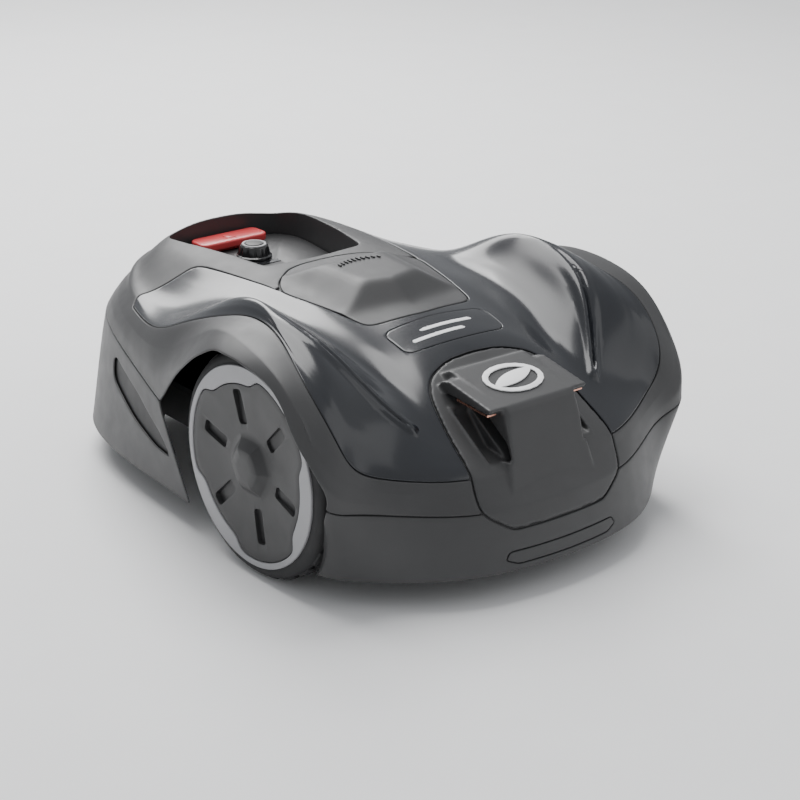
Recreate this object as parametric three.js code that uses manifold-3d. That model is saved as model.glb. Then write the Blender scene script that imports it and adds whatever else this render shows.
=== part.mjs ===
// Robotic lawn mower, built as an assembly of separate shells, wheels and drive parts.
// Millimetres, +Z up, nose towards -Y, origin on the ground under the middle of the machine.
import * as THREE from 'three';
import { ConvexGeometry } from 'three/addons/geometries/ConvexGeometry.js';
import { mergeVertices } from 'three/addons/utils/BufferGeometryUtils.js';
import Module from 'manifold-3d';

const wasm = await Module();
wasm.setup();

// ---- Driving dimensions -------------------------------------------------------------------
const GAP = 0.6; // seam between neighbouring covers
const WALL = 3; // shell wall
const FIT = 0.3; // clearance between pieces that touch
const NET_SHIFT = -17.5; // the body net's zero lies this far ahead of the middle of the length
const GROUND_EDGE = 33; // lower edge of the body above the ground

const WHEEL_R = 121.5;
const AXLE_Y = -110 + NET_SHIFT;
const TYRE_IN_X = 200;
const TYRE_OUT_X = 244;
const TYRE_BORE_R = 98;
const RING_R = 107;
const CAP_R = 90;
const FACE_X = 247;

const TUB_FLOOR_Z = 84;
const TUB_TOP_Z = 124;
const LID_THICKNESS = 6;
const LID_Z = TUB_TOP_Z + FIT;
const LID_TOP_Z = LID_Z + LID_THICKNESS;
const TUB_WALL = 3.5;

const CONSOLE_Z = 205;
const CONSOLE_THICKNESS = 6;
const CONSOLE_TOP_Z = CONSOLE_Z + CONSOLE_THICKNESS;
const KNOB_Y = 209;
const KNOB_HEIGHT = 18;
const STOP_Y = 261;
const STOP_TRAVEL = 3;
const STOP_SIZE = [94, 32, 10];
const SHELL_LIFT = 8.5; // room for the shell to rise on its rubber mounts

const CUT_Y = 40; // cutting spindle
const DISC_R = 105;
const DISC_Z = 30;
const BLADE_PIVOT_R = 94;
const BLADE_LENGTH = 38;
const SKID_R = 88;

const CASTER_X = 122;
const CASTER_Y = 252;
const CASTER_R = 32;
const CASTER_TRAIL = 16;
const CASTER_W = 22;

const ROUND = 32; // facets on a full turn of a middle-sized round piece

// ---- Finishes -----------------------------------------------------------------------------
const finish = (name, color, roughness, metalness) =>
  Object.assign(new THREE.MeshStandardMaterial({ color, roughness, metalness }), { name });
const FINISH = {
  matteShell: () => finish('matte_shell', 0x5c5c5c, 0.62, 0),
  glossCover: () => finish('gloss_cover', 0x3b3d44, 0.18, 0),
  darkPlastic: () => finish('dark_plastic', 0x262626, 0.6, 0),
  wheelCap: () => finish('wheel_cap', 0x4c4c4c, 0.55, 0),
  silver: () => finish('silver_trim', 0xa8a8a8, 0.4, 0.1),
  rubber: () => finish('tyre_rubber', 0x2c2c2c, 0.85, 0),
  red: () => finish('stop_red', 0xd8484a, 0.4, 0),
  white: () => finish('emblem_white', 0xf4f4f4, 0.5, 0),
  copper: () => finish('contact_copper', 0xc98a76, 0.3, 1),
  steel: () => finish('steel', 0xb4b6b8, 0.3, 1),
  board: () => finish('circuit_board', 0x1f5c3a, 0.5, 0),
  glass: () => finish('display_glass', 0x101012, 0.08, 0),
  battery: () => finish('battery_case', 0x3a3f45, 0.5, 0),
};

// ---- Solids -------------------------------------------------------------------------------
function solid(geometry) {
  const bare = geometry.index ? geometry.toNonIndexed() : geometry.clone();
  bare.deleteAttribute('normal');
  bare.deleteAttribute('uv');
  const merged = mergeVertices(bare, 1e-4);
  return new wasm.Manifold(new wasm.Mesh({
    numProp: 3,
    vertProperties: new Float32Array(merged.attributes.position.array),
    triVerts: new Uint32Array(merged.index.array),
  }));
}

function geometryOf(manifold) {
  const mesh = manifold.getMesh();
  const geometry = new THREE.BufferGeometry();
  geometry.setAttribute('position', new THREE.BufferAttribute(new Float32Array(mesh.vertProperties), 3));
  geometry.setIndex(new THREE.BufferAttribute(new Uint32Array(mesh.triVerts), 1));
  return geometry;
}

const unite = (parts) => parts.reduce((whole, part) => whole.add(part));

function box(width, depth, height, x, y, z) {
  return solid(new THREE.BoxGeometry(width, depth, height).translate(x, y, z + height / 2));
}

// A round bar along z, standing on z.
function bar(radius, height, x, y, z, facets = ROUND, topRadius = radius) {
  const shape = new THREE.CylinderGeometry(topRadius, radius, height, facets);
  return solid(shape.rotateX(Math.PI / 2).translate(x, y, z + height / 2));
}

// A round bar along x, from x0 to x1.
function crossBar(radius, x0, x1, y, z, facets = ROUND) {
  const shape = new THREE.CylinderGeometry(radius, radius, Math.abs(x1 - x0), facets);
  return solid(shape.rotateZ(Math.PI / 2).translate((x0 + x1) / 2, y, z));
}

const outlineShape = (points) => new THREE.Shape(points.map(([a, b]) => new THREE.Vector2(a, b)));

function extruded(shape, depth, curveSegments = 8) {
  return new THREE.ExtrudeGeometry(shape, { depth, bevelEnabled: false, curveSegments });
}

// Outline given as [x, y], standing between two heights.
function planPrism(points, z0, z1) {
  return solid(extruded(outlineShape(points), z1 - z0).translate(0, 0, z0));
}

// Outline given as [y, z], running between two x positions.
function sidePrism(points, x0, x1) {
  const turn = new THREE.Matrix4().makeBasis(
    new THREE.Vector3(0, 1, 0), new THREE.Vector3(0, 0, 1), new THREE.Vector3(1, 0, 0));
  return solid(extruded(outlineShape(points), x1 - x0).applyMatrix4(turn).translate(x0, 0, 0));
}

// Outline given as [x, z], running between two y positions.
function frontPrism(points, y0, y1) {
  const shape = extruded(outlineShape(points), y1 - y0).rotateX(Math.PI / 2);
  return solid(shape.translate(0, y1, 0));
}

const mirrored = (points) => [...points, ...points.filter(([x]) => x !== 0).reverse().map(([x, b]) => [-x, b])];
const shifted = (points) => points.map(([x, y]) => [x, y + NET_SHIFT]);
const alongNet = (points) => points.map(([y, z]) => [y + NET_SHIFT, z]);

// Moves every side of a closed outline by a distance, outwards when positive.
function offsetOutline(points, distance) {
  const area = points.reduce((sum, [x, y], i) => {
    const [x2, y2] = points[(i + 1) % points.length];
    return sum + x * y2 - x2 * y;
  }, 0);
  const way = Math.sign(area) * distance;
  return points.map((here, i) => {
    const before = new THREE.Vector2(...points[(i + points.length - 1) % points.length]);
    const after = new THREE.Vector2(...points[(i + 1) % points.length]);
    const corner = new THREE.Vector2(...here);
    const a = corner.clone().sub(before).normalize();
    const b = after.sub(corner).normalize();
    const normalA = new THREE.Vector2(a.y, -a.x);
    const normalB = new THREE.Vector2(b.y, -b.x);
    const middle = normalA.clone().add(normalB).normalize();
    const reach = way / Math.max(0.4, middle.dot(normalA));
    return [corner.x + middle.x * reach, corner.y + middle.y * reach];
  });
}

// ---- Body net -----------------------------------------------------------------------------
// Ribs of the right half of the body, from nose to tail. Each rib rises from the lower edge:
// edge, crease, two wall points, cover seam, shoulder, fender crest, valley, hood edge, spine.
const RIBS = [
  [[0, -325, 33], [0, -309, 95], [0, -302, 106], [0, -296, 117], [0, -289, 128],
    [0, -273, 142], [0, -255, 153], [0, -222, 176], [0, -192, 196], [0, -163, 211]],
  [[50, -321, 33], [55, -306, 95], [55, -300, 106], [55, -294, 117], [55, -288, 128],
    [54, -272, 142], [52, -254, 153], [50, -221, 176], [46, -191, 195], [0, -150, 217]],
  [[88, -315, 33], [99, -299, 95], [99, -294, 106], [98, -289, 117], [97, -285, 128],
    [95, -268, 142], [93, -250, 153], [88, -215, 177], [80, -175, 201], [0, -135, 221]],
  [[126, -302, 33], [138, -281, 98], [140, -276, 109], [141, -272, 120], [140, -268, 131],
    [131, -246, 152], [118, -222, 168], [103, -196, 185], [83, -158, 206], [0, -118, 225]],
  [[153, -286, 33], [174, -261, 102], [177, -257, 113], [178, -253, 125], [176, -248, 137],
    [162, -222, 168], [143, -193, 196], [117, -172, 193], [86, -140, 212], [0, -100, 229]],
  [[178, -268, 33], [205, -246, 107], [208, -244, 120], [208, -241, 133], [205, -235, 146],
    [192, -214, 192], [165, -166, 231], [128, -146, 208], [88, -118, 219], [0, -80, 232]],
  [[206, -243, 33], [229, -247, 113], [234, -248, 129], [232, -243, 149], [219, -234, 168],
    [204, -202, 216], [176, -135, 254], [138, -115, 221], [88, -92, 225], [0, -60, 235]],
  [[226, -222, 33], [250, -244, 119], [253, -238, 148], [248, -217, 182], [226, -213, 203],
    [208, -160, 243], [180, -88, 268], [141, -80, 229], [88, -62, 230], [0, -35, 238]],
  [[232, -200, 33], [253, -215, 135], [258, -178, 214], [248, -180, 236], [228, -168, 239],
    [210, -120, 256], [183, -62, 272], [143, -52, 233], [89, -38, 233], [0, -15, 240]],
  [[236, -150, 33], [253, -130, 125], [262, -105, 243], [243, -103, 251], [203, -108, 256],
    [194, -75, 268], [183, -38, 273], [144, -28, 234], [90, -18, 235], [0, 5, 241]],
  [[238, -70, 33], [252, -60, 125], [262, -62, 241], [236, -60, 254], [202, -58, 263],
    [194, -35, 268], [182, -10, 267], [143, -5, 235], [92, 0, 236], [0, 25, 242]],
  [[238, 0, 33], [250, 5, 130], [259, -5, 199], [230, -18, 243], [203, -6, 246],
    [193, 8, 253], [180, 28, 250], [141, 22, 235], [95, 30, 238], [0, 50, 242]],
  [[236, 40, 35], [242, 62, 138], [243, 58, 165], [236, 54, 194], [215, 50, 228],
    [198, 62, 229], [180, 68, 225], [140, 62, 234], [98, 65, 240], [0, 85, 242]],
  [[234, 95, 35], [238, 98, 152], [237, 96, 172], [233, 92, 190], [223, 88, 205],
    [202, 98, 210], [176, 108, 212], [141, 106, 229], [103, 110, 240], [0, 125, 242]],
  [[229, 160, 35], [222, 165, 162], [219, 163, 176], [213, 160, 189], [203, 156, 200],
    [190, 158, 206], [172, 160, 208], [140, 158, 223], [107, 160, 240], [0, 170, 242]],
  [[219, 225, 35], [204, 222, 168], [200, 218, 180], [194, 214, 190], [186, 208, 199],
    [178, 206, 206], [165, 205, 209], [136, 203, 225], [108, 208, 239], [0, 215, 242]],
  [[198, 285, 35], [178, 276, 170], [173, 271, 182], [167, 264, 193], [160, 257, 203],
    [156, 254, 210], [147, 250, 214], [126, 246, 228], [103, 252, 239], [0, 250, 242]],
  [[160, 333, 35], [142, 318, 170], [137, 312, 183], [131, 305, 196], [124, 298, 208],
    [121, 296, 216], [114, 291, 220], [103, 285, 231], [90, 277, 239], [0, 270, 242]],
  [[100, 355, 35], [88, 341, 168], [84, 335, 182], [79, 328, 197], [73, 321, 210],
    [70, 318, 218], [67, 314, 222], [60, 307, 232], [50, 300, 240], [0, 286, 242]],
  [[0, 360, 35], [0, 348, 166], [0, 342, 181], [0, 336, 195], [0, 330, 208],
    [0, 328, 216], [0, 324, 220], [0, 317, 231], [0, 309, 240], [0, 298, 243]],
].map((rib) => rib.map(([x, y, z]) => new THREE.Vector3(x, y + NET_SHIFT, z)));

const CREASE = [0, 0.85, 0.2, 0.5, 0.3, 0, 0.35, 0, 0, 0]; // how sharply each level turns
const LEVEL_STEPS = [1, 1, 1, 1, 1, 1, 2, 1, 1]; // facets between neighbouring levels
const HOOD_LEVEL = 8; // level next to the spine
const RIB_STEPS = 1; // facets between neighbouring ribs

// Point on a smooth line through knots, with a chosen sharpness at each knot.
function onLine(knots, at, sharpness = []) {
  const last = knots.length - 1;
  const i = Math.min(Math.floor(at), last - 1);
  const t = at - i;
  const chord = (k) => knots[k + 1].clone().sub(knots[k]);
  const tangent = (k, own) => {
    const ownChord = chord(own);
    const length = ownChord.length();
    if (length < 1e-6) return new THREE.Vector3();
    if (k === 0 || k === last) return ownChord;
    const back = chord(k - 1);
    const ahead = chord(k);
    const lengthBack = Math.max(back.length(), 1e-6);
    const lengthAhead = Math.max(ahead.length(), 1e-6);
    const smooth = back.multiplyScalar(lengthAhead / lengthBack).add(
      ahead.multiplyScalar(lengthBack / lengthAhead)).multiplyScalar(length / (lengthBack + lengthAhead));
    return smooth.lerp(ownChord, sharpness[k] ?? 0);
  };
  const t2 = t * t;
  const t3 = t2 * t;
  return new THREE.Vector3()
    .addScaledVector(knots[i], 2 * t3 - 3 * t2 + 1)
    .addScaledVector(tangent(i, i), t3 - 2 * t2 + t)
    .addScaledVector(knots[i + 1], -2 * t3 + 3 * t2)
    .addScaledVector(tangent(i + 1, i), t3 - t2);
}

const flip = (point) => new THREE.Vector3(-point.x, point.y, point.z);

// Point of the body surface: rib from 0 at the nose to 19 at the tail, level from 0 to 9.
function bodyPoint(rib, level) {
  const onRib = (k) => {
    const whole = [...RIBS[k], flip(RIBS[k][HOOD_LEVEL])];
    return onLine(whole, level, CREASE);
  };
  const count = RIBS.length;
  const near = [];
  const first = Math.min(Math.floor(rib), count - 2);
  for (let k = first - 1; k <= first + 2; k += 1) {
    if (k < 0) near.push(flip(onRib(-k)));
    else if (k > count - 1) near.push(flip(onRib(2 * (count - 1) - k)));
    else near.push(onRib(k));
  }
  return onLine(near, rib - first + 1);
}

// Closed solid under the body surface, drawn inwards by a wall and downwards to open it.
function bodySolid(inset, drop) {
  const levels = [0];
  LEVEL_STEPS.forEach((steps, i) => {
    for (let s = 1; s <= steps; s += 1) levels.push(i + s / steps);
  });
  const columns = (RIBS.length - 1) * RIB_STEPS;
  const rows = levels.length;
  const half = [];
  for (let c = 0; c <= columns; c += 1) {
    half.push(levels.map((level) => bodyPoint(c / RIB_STEPS, level)));
  }
  const whole = [...half, ...half.slice(1, -1).reverse().map((column) => column.map(flip))];
  const around = whole.length;
  const at = (c, r) => whole[(c + around) % around][r];
  const isSpine = (r) => r === rows - 1;
  const normal = (c, r) => {
    if (isSpine(r)) return new THREE.Vector3(0, 0, 1);
    const across = at(c + 1, r).clone().sub(at(c - 1, r));
    const up = at(c, Math.min(r + 1, rows - 1)).clone().sub(at(c, Math.max(r - 1, 0)));
    return across.cross(up).normalize();
  };
  const place = whole.map((column, c) => column.map((point, r) => {
    const moved = point.clone().addScaledVector(normal(c, r), -inset);
    if (Math.abs(point.x) < 1e-6) moved.x = 0;
    if (r === 0) moved.z = point.z - drop;
    return moved;
  }));
  const soup = [];
  const tri = (a, b, c) => {
    if (a.distanceTo(b) > 1e-4 && b.distanceTo(c) > 1e-4 && c.distanceTo(a) > 1e-4) {
      soup.push(...a.toArray(), ...b.toArray(), ...c.toArray());
    }
  };
  const floorMiddle = new THREE.Vector3(0, 0, GROUND_EDGE + 1 - drop);
  for (let c = 0; c < around; c += 1) {
    const next = (c + 1) % around;
    tri(floorMiddle, place[next][0], place[c][0]);
    for (let r = 0; r < rows - 1; r += 1) {
      tri(place[c][r], place[next][r], place[next][r + 1]);
      tri(place[c][r], place[next][r + 1], place[c][r + 1]);
    }
  }
  const geometry = new THREE.BufferGeometry();
  geometry.setAttribute('position', new THREE.BufferAttribute(new Float32Array(soup), 3));
  return solid(geometry);
}

// ---- Seam outlines ------------------------------------------------------------------------
const COVER_OUTLINE = mirrored(shifted([
  [0, -200], [80, -200], [97, -288], [140, -270.5], [176, -250.5],
  [203, -237], [211, -235], [217, -231], [226, -212], [229, -190], [228, -167], [220, -153],
  [206, -140], [201, -117], [200, -4], [204, 20], [212, 48], [219, 62], [229, 76], [227, 88], [192, 182],
  [184, 197], [175, 201], [150, 188], [119, 178], [113, 165], [103, 88], [95.5, 36], [0, 36],
]));
const HATCH_OUTLINE = mirrored(shifted([
  [0, -90], [62, -84], [70, -80], [74, -72], [95.5, 30], [95, 40], [84, 60], [52, 86], [26, 94], [0, 96],
]));
const RECESS_OUTLINE = mirrored(shifted([
  [0, 107], [60, 107], [68, 111], [78, 165], [90, 240], [90, 268], [77, 291], [54, 298], [0, 301],
]));
const RECESS_RIM_Z = CONSOLE_TOP_Z + 2; // lower end of the wall round the recess
const NOSE_OUTLINE = mirrored([
  [0, 73], [58, 73], [66, 75], [97, 95], [98, 128], [93, 153], [87, 180], [81, 196], [72, 204], [0, 211],
]);
const LIP_OUTLINE = mirrored([[0, 39], [62, 39], [76, 45], [70, 52], [0, 52]]);
const BADGE_OUTLINE = mirrored(shifted([
  [0, -147], [60, -145], [68, -139], [69, -110], [62, -102], [0, -99],
]));
const ARCH_OUTLINE = alongNet([
  [-196, 10], [-198, 35], [-218, 80], [-240, 119], [-240, 135], [-228, 158], [-198, 191],
  [-182, 211], [-161, 226], [-138, 234], [-105, 241], [-70, 241], [-35, 221], [0, 193],
  [44, 152], [62, 137], [38, 85], [15, 33], [12, 10],
]);
const ARCH_WAIST_Z = 152; // below this height the opening cuts the whole side wall
const BUMPER_LINE = [[-350, 95], [-299, 95], [-281, 98], [-261, 102], [-246, 110], [-241, 118], [-150, 124]];
const TAIL_LINE = [[10, 136], [62, 138], [98, 152], [165, 162], [222, 168], [276, 170], [318, 170], [365, 166]];

function under(line, lift, lowest) {
  const top = alongNet(line).map(([y, z]) => [y, z + lift]);
  return [[top[0][0], lowest], [top.at(-1)[0], lowest], ...top.reverse()];
}

// ---- Shell covers -------------------------------------------------------------------------
const FAR = 400;
const HALF_SEAM = GAP / 2;
const SIDES = [['right', -1], ['left', 1]];

const onSide = (sign, x0, x1) => (sign > 0 ? [x0, x1] : [-x1, -x0]);

function hull(points) {
  return solid(new ConvexGeometry(points.map(([x, y, z]) => new THREE.Vector3(x, y + NET_SHIFT, z))));
}

// Both halves of a list of right-half points, as one hull.
const hullBothSides = (points) => hull([...points, ...points.map(([x, y, z]) => [-x, y, z])]);

// Room for a wheel in the resting and the lifted shell, and its opening in the side wall.
function archCutter(sign) {
  const wheel = crossBar(WHEEL_R + 3, ...onSide(sign, 197, 246), AXLE_Y, WHEEL_R, 40);
  const room = wheel.add(wheel.translate(0, 0, -SHELL_LIFT)).hull();
  const lower = ARCH_OUTLINE.map(([y, z]) => [y, Math.min(z, ARCH_WAIST_Z)]);
  return unite([room, sidePrism(lower, ...onSide(sign, 215, FAR)), sidePrism(ARCH_OUTLINE, ...onSide(sign, 240, FAR))]);
}

function noseHump(inset) {
  return hullBothSides([
    [54 - inset, -178 - inset, 197 - inset], [51 - inset, -192, 206 - inset],
    [46 - inset, -272 + inset, 190 - inset], [45 - inset, -276 + inset, 185 - inset],
    [50 - inset, -300 + inset, 124], [54 - inset, -190, inset ? 150 : 187],
  ]);
}

function hatchBump(inset) {
  return hullBothSides([
    [60 - inset, -77 + inset, 229 - inset * 4], [78 - inset, 50 - inset, 236 - inset * 4],
    [60 - inset, 78 - inset, 236 - inset * 4], [33 - inset, -40 + inset, 257 - inset],
    [48 - inset, 40 - inset, 257 - inset],
  ]);
}

// Sloping brow over a charging pocket, on one side of the nose hump.
function brow(sign) {
  const profile = alongNet([[-273, 190], [-270, 184], [-216, 188], [-190, 190], [-196, 199], [-208, 202]]);
  return sidePrism(profile, ...onSide(sign, 40, 66));
}

// Pocket under a brow, grown by a wall's thickness for its tray.
function pocket(sign, grow) {
  const profile = alongNet([[-272, 183.9], [-216, 187.8], [-222, 168], [-250, 141], [-275, 136.5], [-310, 136.5],
    [-310, 183.9]]);
  return sidePrism(offsetOutline(profile, grow), ...onSide(sign, 49 - grow, 70 + grow));
}

function chargingStrip(sign) {
  const profile = alongNet([[-267, 183.9], [-267, 181.7], [-220, 185.2], [-220, 187.4]]);
  return sidePrism(profile, ...onSide(sign, 53, 65));
}

const SCOOP_OUTLINE = alongNet([[46, 76], [66, 98], [120, 128], [188, 146], [200, 140], [196, 118], [130, 92], [80, 78]]);

function shellPieces() {
  let skin = bodySolid(0, 0).subtract(bodySolid(WALL, 12));
  for (const [, sign] of SIDES) skin = skin.subtract(archCutter(sign));
  const noseZone = (grow) => frontPrism(offsetOutline(NOSE_OUTLINE, grow), -FAR, -155);
  const lipZone = (grow) => frontPrism(offsetOutline(LIP_OUTLINE, grow), -FAR, -250);
  const bumperZone = (lift) => sidePrism(under(BUMPER_LINE, lift, 0), -FAR, FAR);
  const tailZone = (lift) => sidePrism(under(TAIL_LINE, lift, 0), -FAR, FAR);
  const planZone = (outline, grow) => planPrism(offsetOutline(outline, grow), 90, FAR);

  const rest = skin.subtract(noseZone(HALF_SEAM));
  const cover = rest.intersect(planZone(COVER_OUTLINE, -HALF_SEAM)).subtract(planZone(HATCH_OUTLINE, HALF_SEAM));
  const tail = rest.intersect(tailZone(-HALF_SEAM));
  const scoopHole = (grow) => sidePrism(offsetOutline(SCOOP_OUTLINE, grow), -FAR, FAR);
  const brows = SIDES.map(([, sign]) => brow(sign));
  const pockets = unite(SIDES.map(([, sign]) => pocket(sign, 0)));
  const trays = unite(SIDES.map(([, sign]) => pocket(sign, WALL))).intersect(bodySolid(0, 0).add(noseHump(0)));
  const noseSkin = unite([skin.intersect(noseZone(-HALF_SEAM)), noseHump(0)]).subtract(noseHump(WALL));
  const rim = planPrism(offsetOutline(RECESS_OUTLINE, WALL), RECESS_RIM_Z, FAR).intersect(bodySolid(0, 0));
  return {
    nose: unite([noseSkin, trays, ...brows]).subtract(pockets),
    lip: rest.intersect(lipZone(-HALF_SEAM)),
    hatch: rest.intersect(planZone(HATCH_OUTLINE, -HALF_SEAM)).add(hatchBump(0)).subtract(hatchBump(WALL)),
    cover: cover.subtract(planZone(BADGE_OUTLINE, HALF_SEAM)),
    badge: cover.intersect(planZone(BADGE_OUTLINE, -HALF_SEAM)),
    bumper: rest.intersect(bumperZone(-HALF_SEAM)).subtract(lipZone(HALF_SEAM)),
    tail: tail.subtract(scoopHole(0)),
    scoop: (sign) => tail.intersect(scoopHole(3)).translate(-sign * (WALL + FIT + 0.8), 0, 0)
      .intersect(box(FAR, 2 * FAR, FAR, sign * FAR / 2, 0, 0)),
    body: rest.add(rim).subtract(planZone(COVER_OUTLINE, HALF_SEAM)).subtract(planZone(HATCH_OUTLINE, HALF_SEAM))
      .subtract(bumperZone(HALF_SEAM)).subtract(tailZone(HALF_SEAM)).subtract(planPrism(RECESS_OUTLINE, 90, FAR)),
  };
}

// Oval ring with a leaf across it, lying on the sloping top of the nose hump.
function noseEmblem() {
  const ring = new THREE.Shape().absellipse(0, 0, 30, 18, 0, Math.PI * 2);
  ring.holes.push(new THREE.Path().absellipse(0, 0, 25, 13.5, 0, Math.PI * 2));
  const leaf = new THREE.Shape();
  leaf.moveTo(-27, -6);
  leaf.quadraticCurveTo(-6, 12, 27, 6);
  leaf.quadraticCurveTo(6, -12, -27, -6);
  const flat = [ring, leaf].map((shape) => extruded(shape, 1.2, 10));
  const slope = Math.atan2(206 - 190, 272 - 192);
  const lie = (geometry) => solid(geometry.rotateX(slope).translate(0, -232 + NET_SHIFT, 198 + 2 * FIT));
  return unite(flat.map(lie));
}

// ---- Wheels -------------------------------------------------------------------------------
// Every wheel piece is drawn about its own axle along x, outer face towards +x.
function lathed(profile, facets) {
  const points = [...profile, profile[0]].map(([r, x]) => new THREE.Vector2(r, x));
  return solid(new THREE.LatheGeometry(points, facets).rotateZ(-Math.PI / 2));
}

function tyre() {
  return lathed([
    [TYRE_BORE_R, TYRE_IN_X], [WHEEL_R - 5, TYRE_IN_X], [WHEEL_R, TYRE_IN_X + 7], [WHEEL_R, TYRE_OUT_X - 7],
    [WHEEL_R - 4, TYRE_OUT_X - 1], [RING_R, TYRE_OUT_X], [TYRE_BORE_R, TYRE_OUT_X],
  ], 48);
}

// Silver ring, its inner edge waved three times round to hold the cap.
function wheelRing() {
  const outer = new THREE.Shape().absarc(0, 0, RING_R, 0, Math.PI * 2);
  const steps = 48;
  const inner = new THREE.Path();
  for (let i = 0; i < steps; i += 1) {
    const turn = -i * 2 * Math.PI / steps;
    const reach = CAP_R + 2 * FIT + 4 * Math.sign(Math.cos(3 * turn)) * Math.min(1, Math.abs(3 * Math.cos(3 * turn)));
    const [a, b] = [reach * Math.cos(turn), reach * Math.sin(turn)];
    if (i === 0) inner.moveTo(a, b);
    else inner.lineTo(a, b);
  }
  outer.holes.push(inner);
  const plate = extruded(outer, FACE_X - TYRE_OUT_X - FIT, 24);
  return solid(plate.rotateY(Math.PI / 2).translate(TYRE_OUT_X + FIT, 0, 0));
}

function wheelCap() {
  const disc = lathed([[0, 232], [CAP_R - 6, 232], [CAP_R - 6, 240], [CAP_R - 6, 245], [CAP_R - 9, 246], [30, 243],
    [26, 250], [18, 252], [0, 252]], ROUND);
  const barrel = crossBar(TYRE_BORE_R - FIT, 208, 232.5, 0, 0, ROUND);
  const well = crossBar(TYRE_BORE_R - 6, 205, 228, 0, 0, ROUND);
  const hub = crossBar(22, 206, 240, 0, 0, ROUND);
  const slots = unite([0, 1, 2, 3, 4, 5].map((i) => box(20, 9, 34, 248, 0, 38).rotate(60 * i, 0, 0)));
  const bore = crossBar(9.3, 200, 238, 0, 0, 16);
  return unite([disc, barrel.subtract(well), hub]).subtract(slots).subtract(bore);
}

const driveAxle = () => crossBar(9, 187, 237.5, 0, 0, 16);

// ---- Chassis ------------------------------------------------------------------------------
const TUB_OUTLINE = mirrored([
  [0, -296], [62, -290], [130, -262], [168, -240], [168, -196], [116, -186], [116, -72], [168, -60],
  [186, 40], [184, 200], [164, 262], [120, 300], [0, 318],
]);
const MOTOR_BAY_R = 62;
const CASTER_STEM_R = 7;

function chassisTub() {
  const outer = planPrism(TUB_OUTLINE, TUB_FLOOR_Z, TUB_TOP_Z);
  const inner = planPrism(offsetOutline(TUB_OUTLINE, -TUB_WALL), TUB_FLOOR_Z + TUB_WALL, TUB_TOP_Z + 1);
  const bayWall = bar(MOTOR_BAY_R + TUB_WALL, TUB_TOP_Z - TUB_FLOOR_Z, 0, CUT_Y, TUB_FLOOR_Z);
  const bay = bar(MOTOR_BAY_R, 80, 0, CUT_Y, TUB_FLOOR_Z - 1);
  const bosses = unite(SIDES.map(([, s]) => bar(14, TUB_TOP_Z - TUB_FLOOR_Z, s * CASTER_X, CASTER_Y, TUB_FLOOR_Z)));
  const bores = unite(SIDES.map(([, s]) => bar(CASTER_STEM_R + 0.5, 80, s * CASTER_X, CASTER_Y, TUB_FLOOR_Z - 1, 16)));
  return outer.subtract(inner).add(bayWall).add(bosses).subtract(bay).subtract(bores);
}

function chassisLid() {
  const plate = planPrism(TUB_OUTLINE, LID_Z, LID_TOP_Z);
  const tower = planPrism(mirrored([[0, 150], [50, 150], [58, 266], [0, 276]]), LID_TOP_Z - 1, CONSOLE_Z - FIT);
  const room = planPrism(mirrored([[0, 154], [46, 154], [54, 262], [0, 272]]), LID_Z - 1, CONSOLE_Z - 6);
  const dome = bar(48, 44, 0, CUT_Y, LID_TOP_Z - 1);
  const domeRoom = bar(45, 43, 0, CUT_Y, LID_Z - 1);
  return unite([plate, tower, dome]).subtract(room).subtract(domeRoom);
}

function consolePanel() {
  const outline = mirrored([[0, 136], [52, 138], [70, 170], [80, 252], [64, 280], [0, 290]]);
  const plate = planPrism(outline, CONSOLE_Z, CONSOLE_TOP_Z);
  const knobWell = bar(9, 30, 0, KNOB_Y, CONSOLE_Z + 2, 16);
  const buttonWell = box(80, 24, 20, 0, STOP_Y, CONSOLE_Z + 2);
  const windowWell = box(36, 10, 20, 0, KNOB_Y - 26, CONSOLE_TOP_Z - 2);
  return plate.subtract(knobWell).subtract(buttonWell).subtract(windowWell);
}

function stopButton() {
  const [width, depth, height] = STOP_SIZE;
  const corner = 9;
  const cap = planPrism(mirrored([[0, STOP_Y - depth / 2], [width / 2 - corner, STOP_Y - depth / 2],
    [width / 2, STOP_Y - depth / 2 + corner], [width / 2, STOP_Y + depth / 2 - corner],
    [width / 2 - corner, STOP_Y + depth / 2], [0, STOP_Y + depth / 2]]),
  CONSOLE_TOP_Z + STOP_TRAVEL + FIT, CONSOLE_TOP_Z + STOP_TRAVEL + height);
  const stem = box(70, 16, 8, 0, STOP_Y, CONSOLE_TOP_Z - 0.6);
  return cap.add(stem);
}

const dialSkirt = () => bar(21, KNOB_HEIGHT - 2, 0, KNOB_Y, CONSOLE_TOP_Z + FIT, ROUND, 16)
  .subtract(bar(11, 30, 0, KNOB_Y, CONSOLE_TOP_Z - 1));
const dialButton = () => bar(10.5, KNOB_HEIGHT - 5, 0, KNOB_Y, CONSOLE_TOP_Z + 5)
  .add(bar(8, 12, 0, KNOB_Y, CONSOLE_TOP_Z - 1.5, 16));

function gearMotor(sign) {
  const body = crossBar(35, ...onSide(sign, 118, 172), AXLE_Y, WHEEL_R);
  const gearbox = crossBar(44, ...onSide(sign, 160, 186), AXLE_Y, WHEEL_R);
  const flange = box(3, 100, 34, sign * 118, AXLE_Y, 86).add(box(20, 70, 20, sign * 128, AXLE_Y, 92));
  return unite([body, gearbox, flange]);
}

// ---- Cutting unit -------------------------------------------------------------------------
const MOTOR_R = 34;

function cutCarriage() {
  const ring = bar(MOTOR_BAY_R - 2, 6, 0, CUT_Y, 78);
  const cup = bar(MOTOR_R + 4, 34, 0, CUT_Y, 82);
  return ring.add(cup).subtract(bar(MOTOR_R - 4, 20, 0, CUT_Y, 70)).subtract(bar(MOTOR_R + FIT, 60, 0, CUT_Y, 84));
}

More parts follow.
